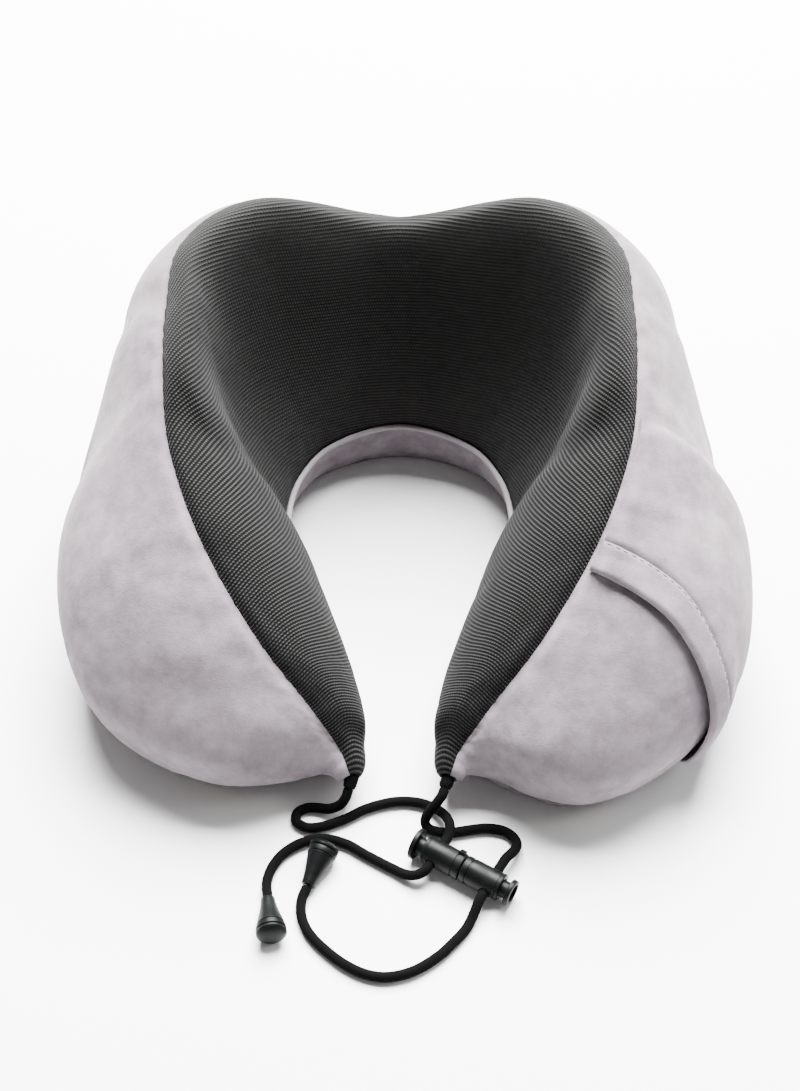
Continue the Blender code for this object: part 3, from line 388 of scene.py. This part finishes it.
def cloth_field():
    """The cover blown up on its seams: a grid of offsets over stations -9.6 to 9.6 and the whole section."""
    rows, columns = 129, 88
    stations = np.linspace(-9.6, 9.6, rows)
    arounds = np.linspace(0, U_ROUND, columns, endpoint=False)
    station, around = np.meshgrid(stations, arounds, indexing="ij")
    rest = surface(station, around)
    points = rest.reshape(-1, 3)
    faces = []
    for row in range(rows - 1):
        for column in range(columns):
            after = (column + 1) % columns
            first, second = row * columns, (row + 1) * columns
            faces.append((first + column, second + column, second + after, first + after))
    faces.append(tuple(range(columns)))
    faces.append(tuple(range((rows - 1) * columns, rows * columns))[::-1])
    mesh = bpy.data.meshes.new("cloth_stand_in")
    mesh.from_pydata([tuple(point) for point in points], [], faces)
    thing = bpy.data.objects.new("cloth_stand_in", mesh)
    bpy.context.scene.collection.objects.link(thing)
    held = thing.vertex_groups.new(name="held")
    seams = np.min([np.abs(around - seam) for seam in (U_BAND, U_RIDGE, U_LOW, U_BAND + U_ROUND)], axis=0)
    stuck = (seams < 0.5 * U_ROUND / columns) | (rest[..., 2] < 0.4 * MM) | (np.abs(station) > 9.4)
    stuck = stuck.reshape(-1)
    held.add([int(k) for k in np.flatnonzero(stuck)], 1.0, "REPLACE")
    held.add([int(k) for k in np.flatnonzero(~stuck)], 0.06, "REPLACE")
    cloth = thing.modifiers.new("Cloth", "CLOTH")
    cloth.settings.quality = 5
    cloth.settings.mass = 0.25
    cloth.settings.tension_stiffness = 12
    cloth.settings.compression_stiffness = 10
    cloth.settings.shear_stiffness = 4
    cloth.settings.bending_stiffness = 0.6
    cloth.settings.use_pressure = True
    cloth.settings.uniform_pressure_force = 4
    cloth.settings.shrink_min = -0.02
    cloth.settings.effector_weights.gravity = 0
    cloth.settings.vertex_group_mass = "held"
    cloth.point_cache.frame_start = 1
    cloth.point_cache.frame_end = 20
    scene = bpy.context.scene
    for step in range(1, 21):
        scene.frame_set(step)
    after = thing.evaluated_get(bpy.context.evaluated_depsgraph_get()).to_mesh()
    moved = np.empty(len(points) * 3)
    after.vertices.foreach_get("co", moved)
    offset = moved.reshape(rest.shape) - rest
    bpy.data.objects.remove(thing)
    scene.frame_set(1)
    normal = normals(station, around)
    along = np.einsum("ijk,ijk->ij", offset, normal)
    sideways = offset - along[..., None] * normal
    outwards = MOST_OUT * np.tanh(np.maximum(along, 0) / MOST_OUT)
    along = outwards - MOST_IN * np.tanh(np.maximum(-along, 0) / MOST_IN)
    size = np.linalg.norm(sideways, axis=-1, keepdims=True) + 1e-9
    sideways = sideways / size * np.minimum(size, 1.5 * MM)
    return stations, along[..., None] * normal + sideways


CLOTH_STATIONS, CLOTH_OFFSETS = cloth_field()


def cloth_offset(station, around):
    """The simulated offsets, smoothly read between their grid points."""
    rows, columns = CLOTH_OFFSETS.shape[:2]
    step = CLOTH_STATIONS[1] - CLOTH_STATIONS[0]
    row = np.clip((station - CLOTH_STATIONS[0]) / step, 0, rows - 1.001)
    column = (around % U_ROUND) * columns / U_ROUND
    k, j = np.floor(row).astype(int), np.floor(column).astype(int)
    f, g = (row - k)[..., None], (column - j)[..., None]
    j, after = j % columns, (j + 1) % columns
    low = CLOTH_OFFSETS[k, j] * (1 - g) + CLOTH_OFFSETS[k, after] * g
    high = CLOTH_OFFSETS[k + 1, j] * (1 - g) + CLOTH_OFFSETS[k + 1, after] * g
    ends = np.clip((9.6 - np.abs(station)) / 0.5, 0, 1)[..., None]
    return (low * (1 - f) + high * f) * ends


def mesh_object(name, points, faces, look, uv=None, smooth=True):
    mesh = bpy.data.meshes.new(name)
    mesh.from_pydata([tuple(point) for point in points], [], faces)
    if uv is not None:
        layer = mesh.uv_layers.new(name="Pattern")
        corners = np.empty(len(mesh.loops), dtype=int)
        mesh.loops.foreach_get("vertex_index", corners)
        layer.data.foreach_set("uv", uv[corners].reshape(-1))
    mesh.materials.append(look)
    if smooth:
        mesh.shade_smooth()
        mesh.set_sharp_from_angle(angle=math.radians(50))
    thing = bpy.data.objects.new(name, mesh)
    bpy.context.scene.collection.objects.link(thing)
    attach(thing, BODY)
    return thing


def closed_sheet(name, outer, inner, look, uv=None):
    """A closed piece between two grids of points. The faces look outwards."""
    rows, columns = outer.shape[:2]
    under = rows * columns
    index = np.arange(under).reshape(rows, columns)
    quads = np.stack([index[:-1, :-1], index[1:, :-1], index[1:, 1:], index[:-1, 1:]], axis=-1)
    quads = quads.reshape(-1, 4)
    faces = [tuple(map(int, quad)) for quad in quads]
    faces += [tuple(int(corner) + under for corner in quad[::-1]) for quad in quads]
    rim = list(index[0]) + list(index[1:, -1]) + list(index[-1, -2::-1]) + list(index[-2:0:-1, 0])
    for first, second in zip(rim, rim[1:] + rim[:1]):
        faces.append((int(second), int(first), int(first) + under, int(second) + under))
    points = np.concatenate([outer.reshape(-1, 3), inner.reshape(-1, 3)])
    both = None if uv is None else np.concatenate([uv.reshape(-1, 2)] * 2)
    return mesh_object(name, points, faces, look, both)


def zip_window(station):
    """1 over the zip, falling to 0 past its ends, where the side and base panels meet again."""
    distance = np.abs(surface(station, np.full(np.shape(station), U_LOW))[..., 0])
    return np.clip((ZIP_SPAN + 0.4 * CM - distance) / (0.4 * CM), 0.0, 1.0)


def run_length(points, axis):
    """Distance along a grid of points from its first row or column."""
    steps = np.linalg.norm(np.diff(points, axis=axis), axis=-1)
    start = np.zeros_like(np.take(steps, [0], axis=axis))
    return np.cumsum(np.concatenate([start, steps], axis=axis), axis=axis)


def cover_grid(station, around):
    """The cover's finished outer surface, before its seams."""
    normal = normals(station, around)
    taut = np.where(around % U_ROUND < U_RIDGE, 0.3, 0.75)[..., None]
    offset = cloth_offset(station, around) * taut - normal * fold_depth(station, around)[..., None]
    return surface(station, around) + offset, normal


def panel_grids(stations, low, high, columns, open_low=0.0, open_high=0.0, dips=(1, 1)):
    """Outer and inner points of a cover panel between two seams. Its edges sink into the seams, and its
    ends close round the cords' stubs."""
    window = zip_window(stations)
    low_edge = low + 0.004 + open_low * window
    high_edge = high - 0.004 - open_high * window
    spread = np.linspace(0, 1, columns)
    spread = spread - 0.042 * np.sin(4 * math.pi * spread)
    around = low_edge[:, None] + (high_edge - low_edge)[:, None] * spread[None]
    station = np.repeat(stations[:, None], columns, axis=1)
    points, normal = cover_grid(station, around)
    from_low = run_length(points, 1)
    from_high = from_low[:, -1:] - from_low
    ends = np.clip((10.0 - np.abs(station)) / 0.8, 0.25, 1)
    dip = dips[0] * np.exp(-(from_low / SEAM_WIDTH) ** 2) + dips[1] * np.exp(-(from_high / SEAM_WIDTH) ** 2)
    pucker = 1 + 0.22 * np.sin(run_length(points[:, :1], 0) * 2 * math.pi / 0.0042)
    outer = points - normal * (SEAM_DIP * dip * pucker * ends)[..., None]
    thin = 1 - 0.55 * np.clip((np.abs(station) - 8.5) / 1.5, 0, 1)
    inner = outer - normal * (PANEL_THICKNESS * thin)[..., None]
    close = (np.clip((np.abs(station) - 9.55) / 0.45, 0, 1) ** 1.5 * 0.38)[..., None]
    tip = np.stack([np.sign(station) * TIP_CENTRE[0], np.full_like(station, TIP_CENTRE[1]),
                    np.full_like(station, TIP_CENTRE[2])], axis=-1) * CM
    outer, inner = outer + (tip - outer) * close, inner + (tip - inner) * close
    outer[..., 2] = np.maximum(outer[..., 2], 0.0)
    inner[..., 2] = np.maximum(inner[..., 2], 0.0)
    return outer, inner


def station_rows(first, last):
    return np.linspace(first, last, round((last - first) * ROWS_PER_STATION) + 1)


def flat_pattern(points):
    """Where each point lies in the cloth laid flat, in metres: the ribs run straight across the pattern."""
    low, high = points[:, 0], points[:, -1]
    height = run_length(points, 1)
    step_low = np.linalg.norm(np.diff(low, axis=0), axis=1)
    step_high = np.linalg.norm(np.diff(high, axis=0), axis=1)
    tall = np.maximum((height[1:, -1] + height[:-1, -1]) / 2, 12 * MM)
    heading = np.concatenate([[0], np.cumsum((step_high - step_low) / tall)])
    heading -= heading[len(heading) // 2]
    between = (heading[1:] + heading[:-1]) / 2
    along = np.concatenate([[0], np.cumsum(step_low * np.cos(between))])
    down = np.concatenate([[0], np.cumsum(-step_low * np.sin(between))])
    middle = len(along) // 2
    x = (along - along[middle])[:, None] + height * np.sin(heading)[:, None]
    y = (down - down[middle])[:, None] + height * np.cos(heading)[:, None]
    return np.stack([x, y], axis=-1)


def build_cover(velour, knit, trim):
    whole = station_rows(-10, 10)
    outer, inner = panel_grids(whole, U_BAND, U_RIDGE, 72, dips=(0.3, 1))
    neck = closed_sheet("cover_neck_knit", outer, inner, knit, flat_pattern(outer))
    outer, inner = panel_grids(station_rows(-10, -0.002), U_RIDGE, U_LOW, 72, open_high=ZIP_WINDOW)
    left = closed_sheet("cover_side_left", outer, inner, velour)
    outer, inner = panel_grids(station_rows(0.002, 10), U_RIDGE, U_LOW, 72, open_high=ZIP_WINDOW)
    right = closed_sheet("cover_side_right", outer, inner, velour)
    outer, inner = panel_grids(whole, U_LOW, U_BAND + U_ROUND, 64, open_low=2.2 * ZIP_WINDOW, dips=(1, 0.3))
    base = closed_sheet("cover_base", outer, inner, velour)
    stations = np.linspace(-8.0, 8.0, 320)
    around = np.full_like(stations, U_BAND)
    spine, normal = cover_grid(stations, around)
    piping = round_tube("cover_rim", spine + normal * 0.9 * MM, 1.15 * MM, 14, trim)
    for piece, node in ((neck, "neck_panel"), (left, "side_panel_left"), (right, "side_panel_right"),
                        (base, "base_panel"), (piping, "rim_piping")):
        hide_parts(node)


def frames_along(path):
    """A steady pair of cross directions at each point of a path."""
    ahead = np.gradient(path, axis=0)
    ahead /= np.linalg.norm(ahead, axis=1, keepdims=True)
    side = np.cross(ahead[0], (0.0, 0.0, 1.0))
    side /= np.linalg.norm(side)
    sides = []
    for direction in ahead:
        side = side - direction * (side @ direction)
        side /= np.linalg.norm(side)
        sides.append(side)
    sides = np.array(sides)
    return sides, np.cross(ahead, sides)


def round_tube(name, path, radius, segments, look, relief=None):
    """A closed tube along a path. relief(row, angle) is added to its radius."""
    sides, ups = frames_along(path)
    turns = np.arange(segments) * 2 * math.pi / segments
    size = np.full((len(path), segments), radius)
    if relief is not None:
        size = size + relief(np.arange(len(path))[:, None], turns[None])
    ring = (sides[:, None] * np.cos(turns)[None, :, None] + ups[:, None] * np.sin(turns)[None, :, None])
    points = path[:, None] + ring * size[..., None]
    index = np.arange(points.shape[0] * segments).reshape(-1, segments)
    following = np.roll(index, -1, axis=1)
    quads = np.stack([index[:-1], following[:-1], following[1:], index[1:]], axis=-1).reshape(-1, 4)
    faces = [tuple(map(int, quad)) for quad in quads]
    faces += [tuple(map(int, index[0][::-1])), tuple(map(int, index[-1]))]
    return mesh_object(name, points.reshape(-1, 3), faces, look)


def smooth_route(points, spacing):
    points = np.array(points)
    padded = np.concatenate([2 * points[:1] - points[1:2], points, 2 * points[-1:] - points[-2:-1]])
    steps = np.linspace(0, 1, 24, endpoint=False)
    fine = [catmull_weights(steps) @ padded[k:k + 4] for k in range(len(points) - 1)]
    fine = np.concatenate(fine + [points[-1:]])
    length = np.concatenate([[0], np.cumsum(np.linalg.norm(np.diff(fine, axis=0), axis=1))])
    wanted = np.linspace(0, length[-1], round(length[-1] / spacing) + 1)
    return np.stack([np.interp(wanted, length, fine[:, axis]) for axis in range(3)], axis=1)


def build_cord(word, route, look):
    """A braided cord: two sets of strands that cross over each other."""
    spacing = 0.55 * MM
    path = smooth_route(route, spacing)
    strands = 8

    def relief(row, turn):
        twist = row * spacing / (7.0 * MM) * 2 * math.pi
        one = np.cos(strands * turn + twist * 2)
        other = np.cos(strands * turn - twist * 2)
        return 0.09 * MM * (np.abs(one) + np.abs(other) - 1.4)

    cord = round_tube(f"cord_{word}_braid", path, CORD_RADIUS - 0.02 * MM, 48, look, relief)
    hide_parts(f"cord_{word}")


def pocket_lift(station, share):
    towards_lip = np.clip((station - POCKET_BACK) / (7.0 - POCKET_BACK), 0, 1)
    bow = towards_lip ** 1.5 * np.sin(math.pi * np.clip(share, 0, 1)) ** 0.7
    return POCKET_EDGE_LIFT + POCKET_LIFT * bow


def pocket_piece(name, first, last, rows, thickness, look):
    """A part of the pocket from its back edge, or its hem's seam, towards the open lip."""
    share = np.linspace(0, 1, 70)
    knots = [v for v, _ in POCKET_LIP]
    lip = np.interp(share, knots, [s for _, s in POCKET_LIP])
    for _ in range(120):
        lip[1:-1] = (lip[:-2] + 2 * lip[1:-1] + lip[2:]) / 4
    ends = {"back": np.full_like(lip, POCKET_BACK), "hem": lip - HEM_WIDTH, "lip": lip}
    way = np.linspace(0, 1, rows)[:, None]
    station = ends[first][None] * (1 - way) + ends[last][None] * way
    around = np.broadcast_to(U_RIDGE + 0.05 + (U_LOW - U_RIDGE - 0.10) * share[None], station.shape)
    base, normal = cover_grid(station, around)
    lift = pocket_lift(station, share[None])
    across = run_length(base, 1)
    edge = np.exp(-(across / (3 * MM)) ** 2) + np.exp(-((across[:, -1:] - across) / (3 * MM)) ** 2)
    lift = lift - edge * (lift + 0.2 * MM)
    along = run_length(base, 0)
    if first == "back":
        lift = lift - np.exp(-(along / (3 * MM)) ** 2) * (lift + 0.4 * MM)
        groove = np.exp(-((along[-1:] - along) / (0.9 * MM)) ** 2)
    else:
        groove = np.exp(-(along / (0.9 * MM)) ** 2)
    roll = 1 - np.clip((along - along[-1:] + 2 * MM) / (2 * MM), 0, 1) ** 2 * (0.6 if first == "hem" else 0)
    outer = base + normal * (lift + thickness * roll - 0.7 * MM * groove)[..., None]
    inner = base + normal * lift[..., None]
    return closed_sheet(name, outer, inner, look), outer


def build_pocket(velour, thread):
    panel, _ = pocket_piece("pocket_cloth", "back", "hem", 60, POCKET_THICKNESS, velour)
    hem, hem_points = pocket_piece("pocket_edge", "hem", "lip", 18, POCKET_THICKNESS * 1.25, velour)
    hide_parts("pocket_panel")
    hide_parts("pocket_hem")
    seam = stitches(hem_points[1], normals_of(hem_points)[1], thread)


def normals_of(points):
    normal = np.cross(np.gradient(points, axis=0), np.gradient(points, axis=1))
    return normal / np.linalg.norm(normal, axis=-1, keepdims=True)


def stitches(line, normal, look):
    """A row of short thread loops that sink into the cloth at both ends."""
    length = run_length(line[:, None], 0)[:, 0]
    count = int(length[-1] / (3.4 * MM))
    points, faces = [], []
    for k in range(count):
        places = (k + np.linspace(0.12, 0.78, 7)) * 3.4 * MM + 1.0 * MM
        spine = np.stack([np.interp(places, length, line[:, axis]) for axis in range(3)], axis=1)
        up = np.stack([np.interp(places, length, normal[:, axis]) for axis in range(3)], axis=1)
        arch = np.sin(np.linspace(0, math.pi, 7))[:, None]
        spine = spine + up * (-0.15 * MM + 0.3 * MM * arch)
        side, other = frames_along(spine)
        for row in range(7):
            for corner in range(6):
                turn = corner * math.pi / 3
                offset = side[row] * math.cos(turn) + other[row] * math.sin(turn)
                points.append(spine[row] + offset * 0.24 * MM)
        first = k * 42
        for row in range(6):
            for corner in range(6):
                after = (corner + 1) % 6
                faces.append((first + row * 6 + corner, first + row * 6 + after,
                              first + (row + 1) * 6 + after, first + (row + 1) * 6 + corner))
        faces.append(tuple(first + corner for corner in range(5, -1, -1)))
        faces.append(tuple(first + 36 + corner for corner in range(6)))
    thing = mesh_object("pocket_stitches", points, faces, look)
    return thing


# ---------------------------------------------------------------- hard pieces
def turned(name, profile, look, matrix, segments=72, body=BODY):
    """A body of revolution about local X that starts and ends on the axis, or never touches it."""
    ring_shaped = profile[0][1] > 0
    points, rows = [], []
    for x, radius in profile:
        if radius == 0:
            rows.append([len(points)] * segments)
            points.append((x, 0, 0))
            continue
        rows.append(list(range(len(points), len(points) + segments)))
        for step in range(segments):
            turn = 2 * math.pi * step / segments
            points.append((x, radius * math.cos(turn), radius * math.sin(turn)))
    pairs = list(zip(rows, rows[1:])) + ([(rows[-1], rows[0])] if ring_shaped else [])
    faces = []
    for first, second in pairs:
        for step in range(segments):
            after = (step + 1) % segments
            faces.append(list(dict.fromkeys([first[step], first[after], second[after], second[step]])))
    mesh = bpy.data.meshes.new(name)
    mesh.from_pydata(points, [], faces)
    mesh.validate()
    mesh.transform(matrix)
    mesh.materials.append(look)
    thing = bpy.data.objects.new(name, mesh)
    bpy.context.scene.collection.objects.link(thing)
    fix_faces(mesh)
    return thing


def fix_faces(mesh):
    """Turns a closed mesh's faces outwards and shades it smooth."""
    corners = np.empty(len(mesh.vertices) * 3)
    mesh.vertices.foreach_get("co", corners)
    corners = corners.reshape(-1, 3)
    volume = 0.0
    for face in mesh.polygons:
        first = corners[face.vertices[0]]
        for second, third in zip(face.vertices[1:-1], face.vertices[2:]):
            volume += first @ np.cross(corners[second], corners[third])
    if volume < 0:
        mesh.flip_normals()
    mesh.shade_smooth()
    mesh.set_sharp_from_angle(angle=math.radians(32))


def box_at(name, low, high, matrix, look):
    corners = [(x, y, z) for x in (low[0], high[0]) for y in (low[1], high[1]) for z in (low[2], high[2])]
    faces = [(0, 1, 3, 2), (4, 6, 7, 5), (0, 4, 5, 1), (2, 3, 7, 6), (0, 2, 6, 4), (1, 5, 7, 3)]
    mesh = bpy.data.meshes.new(name)
    mesh.from_pydata(corners, [], faces)
    mesh.transform(matrix)
    mesh.materials.append(look)
    thing = bpy.data.objects.new(name, mesh)
    bpy.context.scene.collection.objects.link(thing)
    return thing


def combined(target, tools, operation):
    """target cut by, or joined to, the tools, as a plain mesh."""
    for tool in tools:
        change = target.modifiers.new(tool.name, "BOOLEAN")
        change.operation = operation
        change.object = tool
    done = bpy.data.meshes.new_from_object(target.evaluated_get(bpy.context.evaluated_depsgraph_get()))
    target.modifiers.clear()
    target.data = done
    for tool in tools:
        bpy.data.objects.remove(tool)
    done.shade_smooth()
    done.set_sharp_from_angle(angle=math.radians(32))
    return target


def lock_place():
    return Matrix.Translation(LOCK_CENTRE) @ Matrix.Rotation(LOCK_ANGLE, 4, "Z")


def build_lock(plastic):
    """Both halves of the cord lock and their sprung buttons."""
    place = lock_place()
    hole_radius = CORD_RADIUS + 0.3 * MM
    for word, side, head, recess in (("left", -1, 6.1 * MM, 0), ("right", 1, 5.1 * MM, 3.6 * MM)):
        start, radius, bore, end = 0.15 * MM, 5.3 * MM, 3.6 * MM, 16.6 * MM
        grooves = [(start, radius - 0.5 * MM), (start + 0.25 * MM, radius - 0.12 * MM),
                   (start + 0.6 * MM, radius), (2.6 * MM, radius), (2.8 * MM, radius - 0.35 * MM),
                   (3.3 * MM, radius - 0.35 * MM), (3.5 * MM, radius), (end - 1.8 * MM, radius),
                   (end - 1.6 * MM, radius - 0.2 * MM), (end - 1.3 * MM, radius - 0.2 * MM),
                   (end - 1.1 * MM, radius), (end - 0.4 * MM, radius),
                   (end - 0.1 * MM, radius - 0.15 * MM), (end, radius - 0.5 * MM)]
        inside = [(end, bore + 0.2 * MM), (end - 0.2 * MM, bore), (3.0 * MM, bore), (3.0 * MM, 0)]
        if side < 0:
            face = [(start + 2.4 * MM, 0), (start + 2.4 * MM, 2.6 * MM), (start, 2.6 * MM)]
        else:
            face = [(-1.8 * MM, 0), (-1.8 * MM, 2.1 * MM), (-1.6 * MM, 2.3 * MM), (start, 2.3 * MM)]
        profile = [(side * x, r) for x, r in face + grooves + inside]
        half = turned(f"lock_half_{word}", profile, plastic, place)
        turn = place @ Matrix.Translation((side * 11.7 * MM, 0, 0)) @ Matrix.Rotation(math.pi / 2, 4, "Z")
        hole = turned("hole", [(-8 * MM, 0), (-8 * MM, hole_radius), (8 * MM, hole_radius), (8 * MM, 0)],
                      plastic, turn, 40)
        combined(half, [hole], "DIFFERENCE")
        if side < 0:
            tilt = place @ Matrix.Rotation(math.radians(-35), 4, "X")
            catch = box_at("catch", (-3.4 * MM, -1.4 * MM, radius - 1.0 * MM),
                           (-0.9 * MM, 1.4 * MM, radius + 0.9 * MM), tilt, plastic)
            combined(half, [catch], "UNION")
        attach(half, BODY)
        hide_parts(f"lock_barrel_{word}")
        stem, first, last = 3.3 * MM, 19.4 * MM, 21.4 * MM
        outline = [(8.6 * MM, 0), (8.6 * MM, stem - 0.3 * MM), (8.9 * MM, stem), (first, stem),
                   (first, head - 0.35 * MM), (first + 0.15 * MM, head - 0.1 * MM), (first + 0.4 * MM, head),
                   (last - 0.5 * MM, head), (last - 0.2 * MM, head - 0.12 * MM), (last, head - 0.5 * MM)]
        if recess:
            outline += [(last, recess + 0.15 * MM), (last - 0.2 * MM, recess),
                        (last - 1.4 * MM, recess - 0.1 * MM), (last - 1.4 * MM, 0)]
        else:
            outline += [(last, head - 1.6 * MM), (last - 0.3 * MM, head - 1.9 * MM), (last - 0.3 * MM, 0)]
        button = turned(f"lock_button_piece_{word}", [(side * x, r) for x, r in outline], plastic, place)
        near, far = 11.7 * MM - hole_radius, 11.7 * MM + hole_radius + 2.5 * MM
        low, high = sorted((side * near, side * far))
        slot = box_at("slot", (low, -6 * MM, -hole_radius), (high, 6 * MM, hole_radius), place, plastic)
        combined(button, [slot], "DIFFERENCE")
        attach(button, f"lock_plunger_{word}")
        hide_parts(f"lock_plunger_{word}")


def build_bell(word, start, towards, plastic):
    """A bell cord end and the domed plug that closes it."""
    start, towards = Vector(start), Vector(towards)
    place = Matrix.Translation(start) @ (towards - start).to_track_quat("X", "Z").to_matrix().to_4x4()
    length, radius, neck, wall = 15.5 * MM, 5.8 * MM, 2.7 * MM, 0.9 * MM
    sleeve = turned(f"bell_sleeve_{word}", [
        (0.3 * MM, 0), (0.3 * MM, neck - 0.4 * MM), (0.45 * MM, neck - 0.12 * MM), (0.8 * MM, neck),
        (2.4 * MM, neck + 0.12 * MM), (5.0 * MM, neck + 0.62 * MM), (8.0 * MM, neck + 1.35 * MM),
        (11.0 * MM, neck + 2.2 * MM), (length - 2.6 * MM, radius - 0.42 * MM),
        (length - 2.4 * MM, radius - 0.62 * MM),
        (length - 2.1 * MM, radius - 0.62 * MM), (length - 1.9 * MM, radius - 0.2 * MM),
        (length - 0.3 * MM, radius), (length - 0.05 * MM, radius - 0.1 * MM), (length, radius - 0.3 * MM),
        (length, radius - wall), (length - 1.2 * MM, radius - wall - 0.1 * MM), (5.0 * MM, neck - 0.4 * MM),
        (5.0 * MM, 0)], plastic, place)
    face = length + 0.3 * MM
    spigot = radius - wall - 0.5 * MM
    plug = turned(f"bell_plug_{word}", [
        (face - 1.8 * MM, 0), (face - 1.8 * MM, spigot), (face, spigot), (face, radius - 0.4 * MM),
        (face + 0.15 * MM, radius - 0.1 * MM), (face + 0.4 * MM, radius),
        (face + 1.0 * MM, radius - 0.05 * MM), (face + 1.5 * MM, radius - 0.45 * MM),
        (face + 2.1 * MM, radius * 0.8), (face + 2.6 * MM, radius * 0.6),
        (face + 2.9 * MM, radius * 0.38), (face + 3.1 * MM, 0)], plastic, place)
    for piece, node in ((sleeve, f"cord_bell_{word}"), (plug, f"cord_plug_{word}")):
        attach(piece, BODY)
        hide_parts(node)
    return sleeve, plug


def build_zip_teeth(look):
    """The coil: two rows of small rounded teeth that mesh along the middle of the zip."""
    low, high = np.array((18.47, 0.95)) * CM, np.array((18.79, 2.10)) * CM
    up = (high - low) / np.linalg.norm(high - low)
    out = np.array((up[1], -up[0]))
    middle = (low + high) / 2
    points, faces = [], []
    pitch = 0.30
    count = int(41.2 / pitch)
    for k in range(count):
        angle = math.radians(-20.6 + k * pitch)
        sign = 1 if k % 2 else -1
        radial = np.array((math.sin(angle), math.cos(angle), 0))
        tangent = np.array((math.cos(angle), -math.sin(angle), 0))
        ups = radial * up[0] + np.array((0, 0, up[1]))
        outs = radial * out[0] + np.array((0, 0, out[1]))
        origin = radial * middle[0] + np.array((0, -7.8 * CM, middle[1]))
        centre = origin + outs * (0.62 + 0.78) * MM + ups * sign * 0.75 * MM
        first = len(points)
        for along in (-0.36, 0.36):
            for turn in range(10):
                a = turn * math.pi / 5
                ring = ups * math.cos(a) * 1.4 * MM + outs * math.sin(a) * 0.72 * MM
                points.append(centre + tangent * along * MM + ring)
        for turn in range(10):
            after = (turn + 1) % 10
            faces.append((first + turn, first + 10 + turn, first + 10 + after, first + after))
        faces.append(tuple(first + turn for turn in range(10)))
        faces.append(tuple(first + 19 - turn for turn in range(10)))
    teeth = mesh_object("zip_teeth", points, faces, look)
    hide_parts("zip_chain")


def finish_nodes(looks):
    """The CAD pieces that stay get their finished materials."""
    for name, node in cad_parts.items():
        if name in looks:
            node.data.materials.clear()
            node.data.materials.append(looks[name])


def stage():
    """Floor, lights and camera."""
    floor_look = Look("floor", 0.9, specular=0.1)
    floor_look.colour((0.72, 0.72, 0.72))
    mesh = bpy.data.meshes.new("floor")
    corners = [(x, y, -0.2 * MM) for x, y in ((-3, -3), (3, -3), (3, 3), (-3, 3))]
    mesh.from_pydata(corners, [], [(0, 1, 2, 3)])
    mesh.materials.append(floor_look.made)
    floor = bpy.data.objects.new("floor", mesh)
    bpy.context.scene.collection.objects.link(floor)
    world = bpy.data.worlds.new("world")
    bpy.context.scene.world = world
    world.use_nodes = True
    background = world.node_tree.nodes["Background"]
    background.inputs["Color"].default_value = (1.0, 0.99, 0.985, 1.0)
    background.inputs["Strength"].default_value = 0.36
    for name, place, size, power, aim in (
            ("overhead", (0.10, 0.85, 1.30), 1.2, 520.0, (0, 0.0, 0.05)),
            ("right", (1.3, 0.1, 1.1), 0.9, 16.0, (0, 0, 0.05))):
        light = bpy.data.lights.new(name, "AREA")
        light.shape = "SQUARE"
        light.size = size
        light.energy = power
        lamp = bpy.data.objects.new(name, light)
        bpy.context.scene.collection.objects.link(lamp)
        lamp.location = place
        lamp.rotation_euler = (Vector(aim) - Vector(place)).to_track_quat("-Z", "Y").to_euler()
    lens = bpy.data.cameras.new("camera")
    lens.sensor_fit = "HORIZONTAL"
    lens.angle = math.radians(23.30)
    lens.clip_start = 0.05
    camera = bpy.data.objects.new("camera", lens)
    bpy.context.scene.collection.objects.link(camera)
    camera.location = (0, -0.5101, 0.6528)
    camera.rotation_euler = (math.radians(39), 0, 0)
    bpy.context.scene.camera = camera


def build():
    velour = velour_look("velour_pile", (0.180, 0.156, 0.173), (0.104, 0.087, 0.098))
    knit = knit_look("knit_ribs", (0.030, 0.030, 0.0291), (0.0007, 0.0007, 0.0008), 1.6 * MM)
    trim = velour_look("velour_rolled", (0.26, 0.24, 0.25), (0.19, 0.17, 0.18))
    tape = woven_look("tape_weave", (0.125, 0.110, 0.120), (0.075, 0.065, 0.071))
    thread = woven_look("thread_twist", (0.20, 0.175, 0.19), (0.12, 0.10, 0.115), 2500.0)
    plastic = plastic_look("plastic_moulded", (0.0016, 0.0021, 0.0020), 0.42)
    coil = plastic_look("coil_nylon", (0.15, 0.138, 0.145), 0.45)
    zinc = metal_look("zinc_plated", (0.22, 0.22, 0.225), 0.3)
    steel = metal_look("steel_wire", (0.22, 0.22, 0.23), 0.25)
    braid = cord_look()
    stage()
    build_cover(velour, knit, trim)
    build_pocket(velour, thread)
    left_bell = build_bell("left", (-0.0497, -0.1545, 0.0033), (-0.0472, -0.1724, 0.0065), plastic)
    right_bell = build_bell("right", (-0.0350, -0.1495, 0.0033), (-0.0279, -0.1325, 0.0065), plastic)
    build_lock(plastic)
    build_cord("left", CORD_LEFT_ROUTE, braid)
    build_cord("right", CORD_RIGHT_ROUTE, braid)
    build_zip_teeth(coil)
    finish_nodes({"foam_core": foam_look(), "zip_tape_lower": tape, "zip_tape_upper": tape,
                  "zip_stop_left": zinc, "zip_stop_right": zinc, "zip_slider": zinc, "zip_pull": zinc,
                  "lock_spring_left": steel, "lock_spring_right": steel,
                  "cord_stub_left": braid, "cord_stub_right": braid})


build()
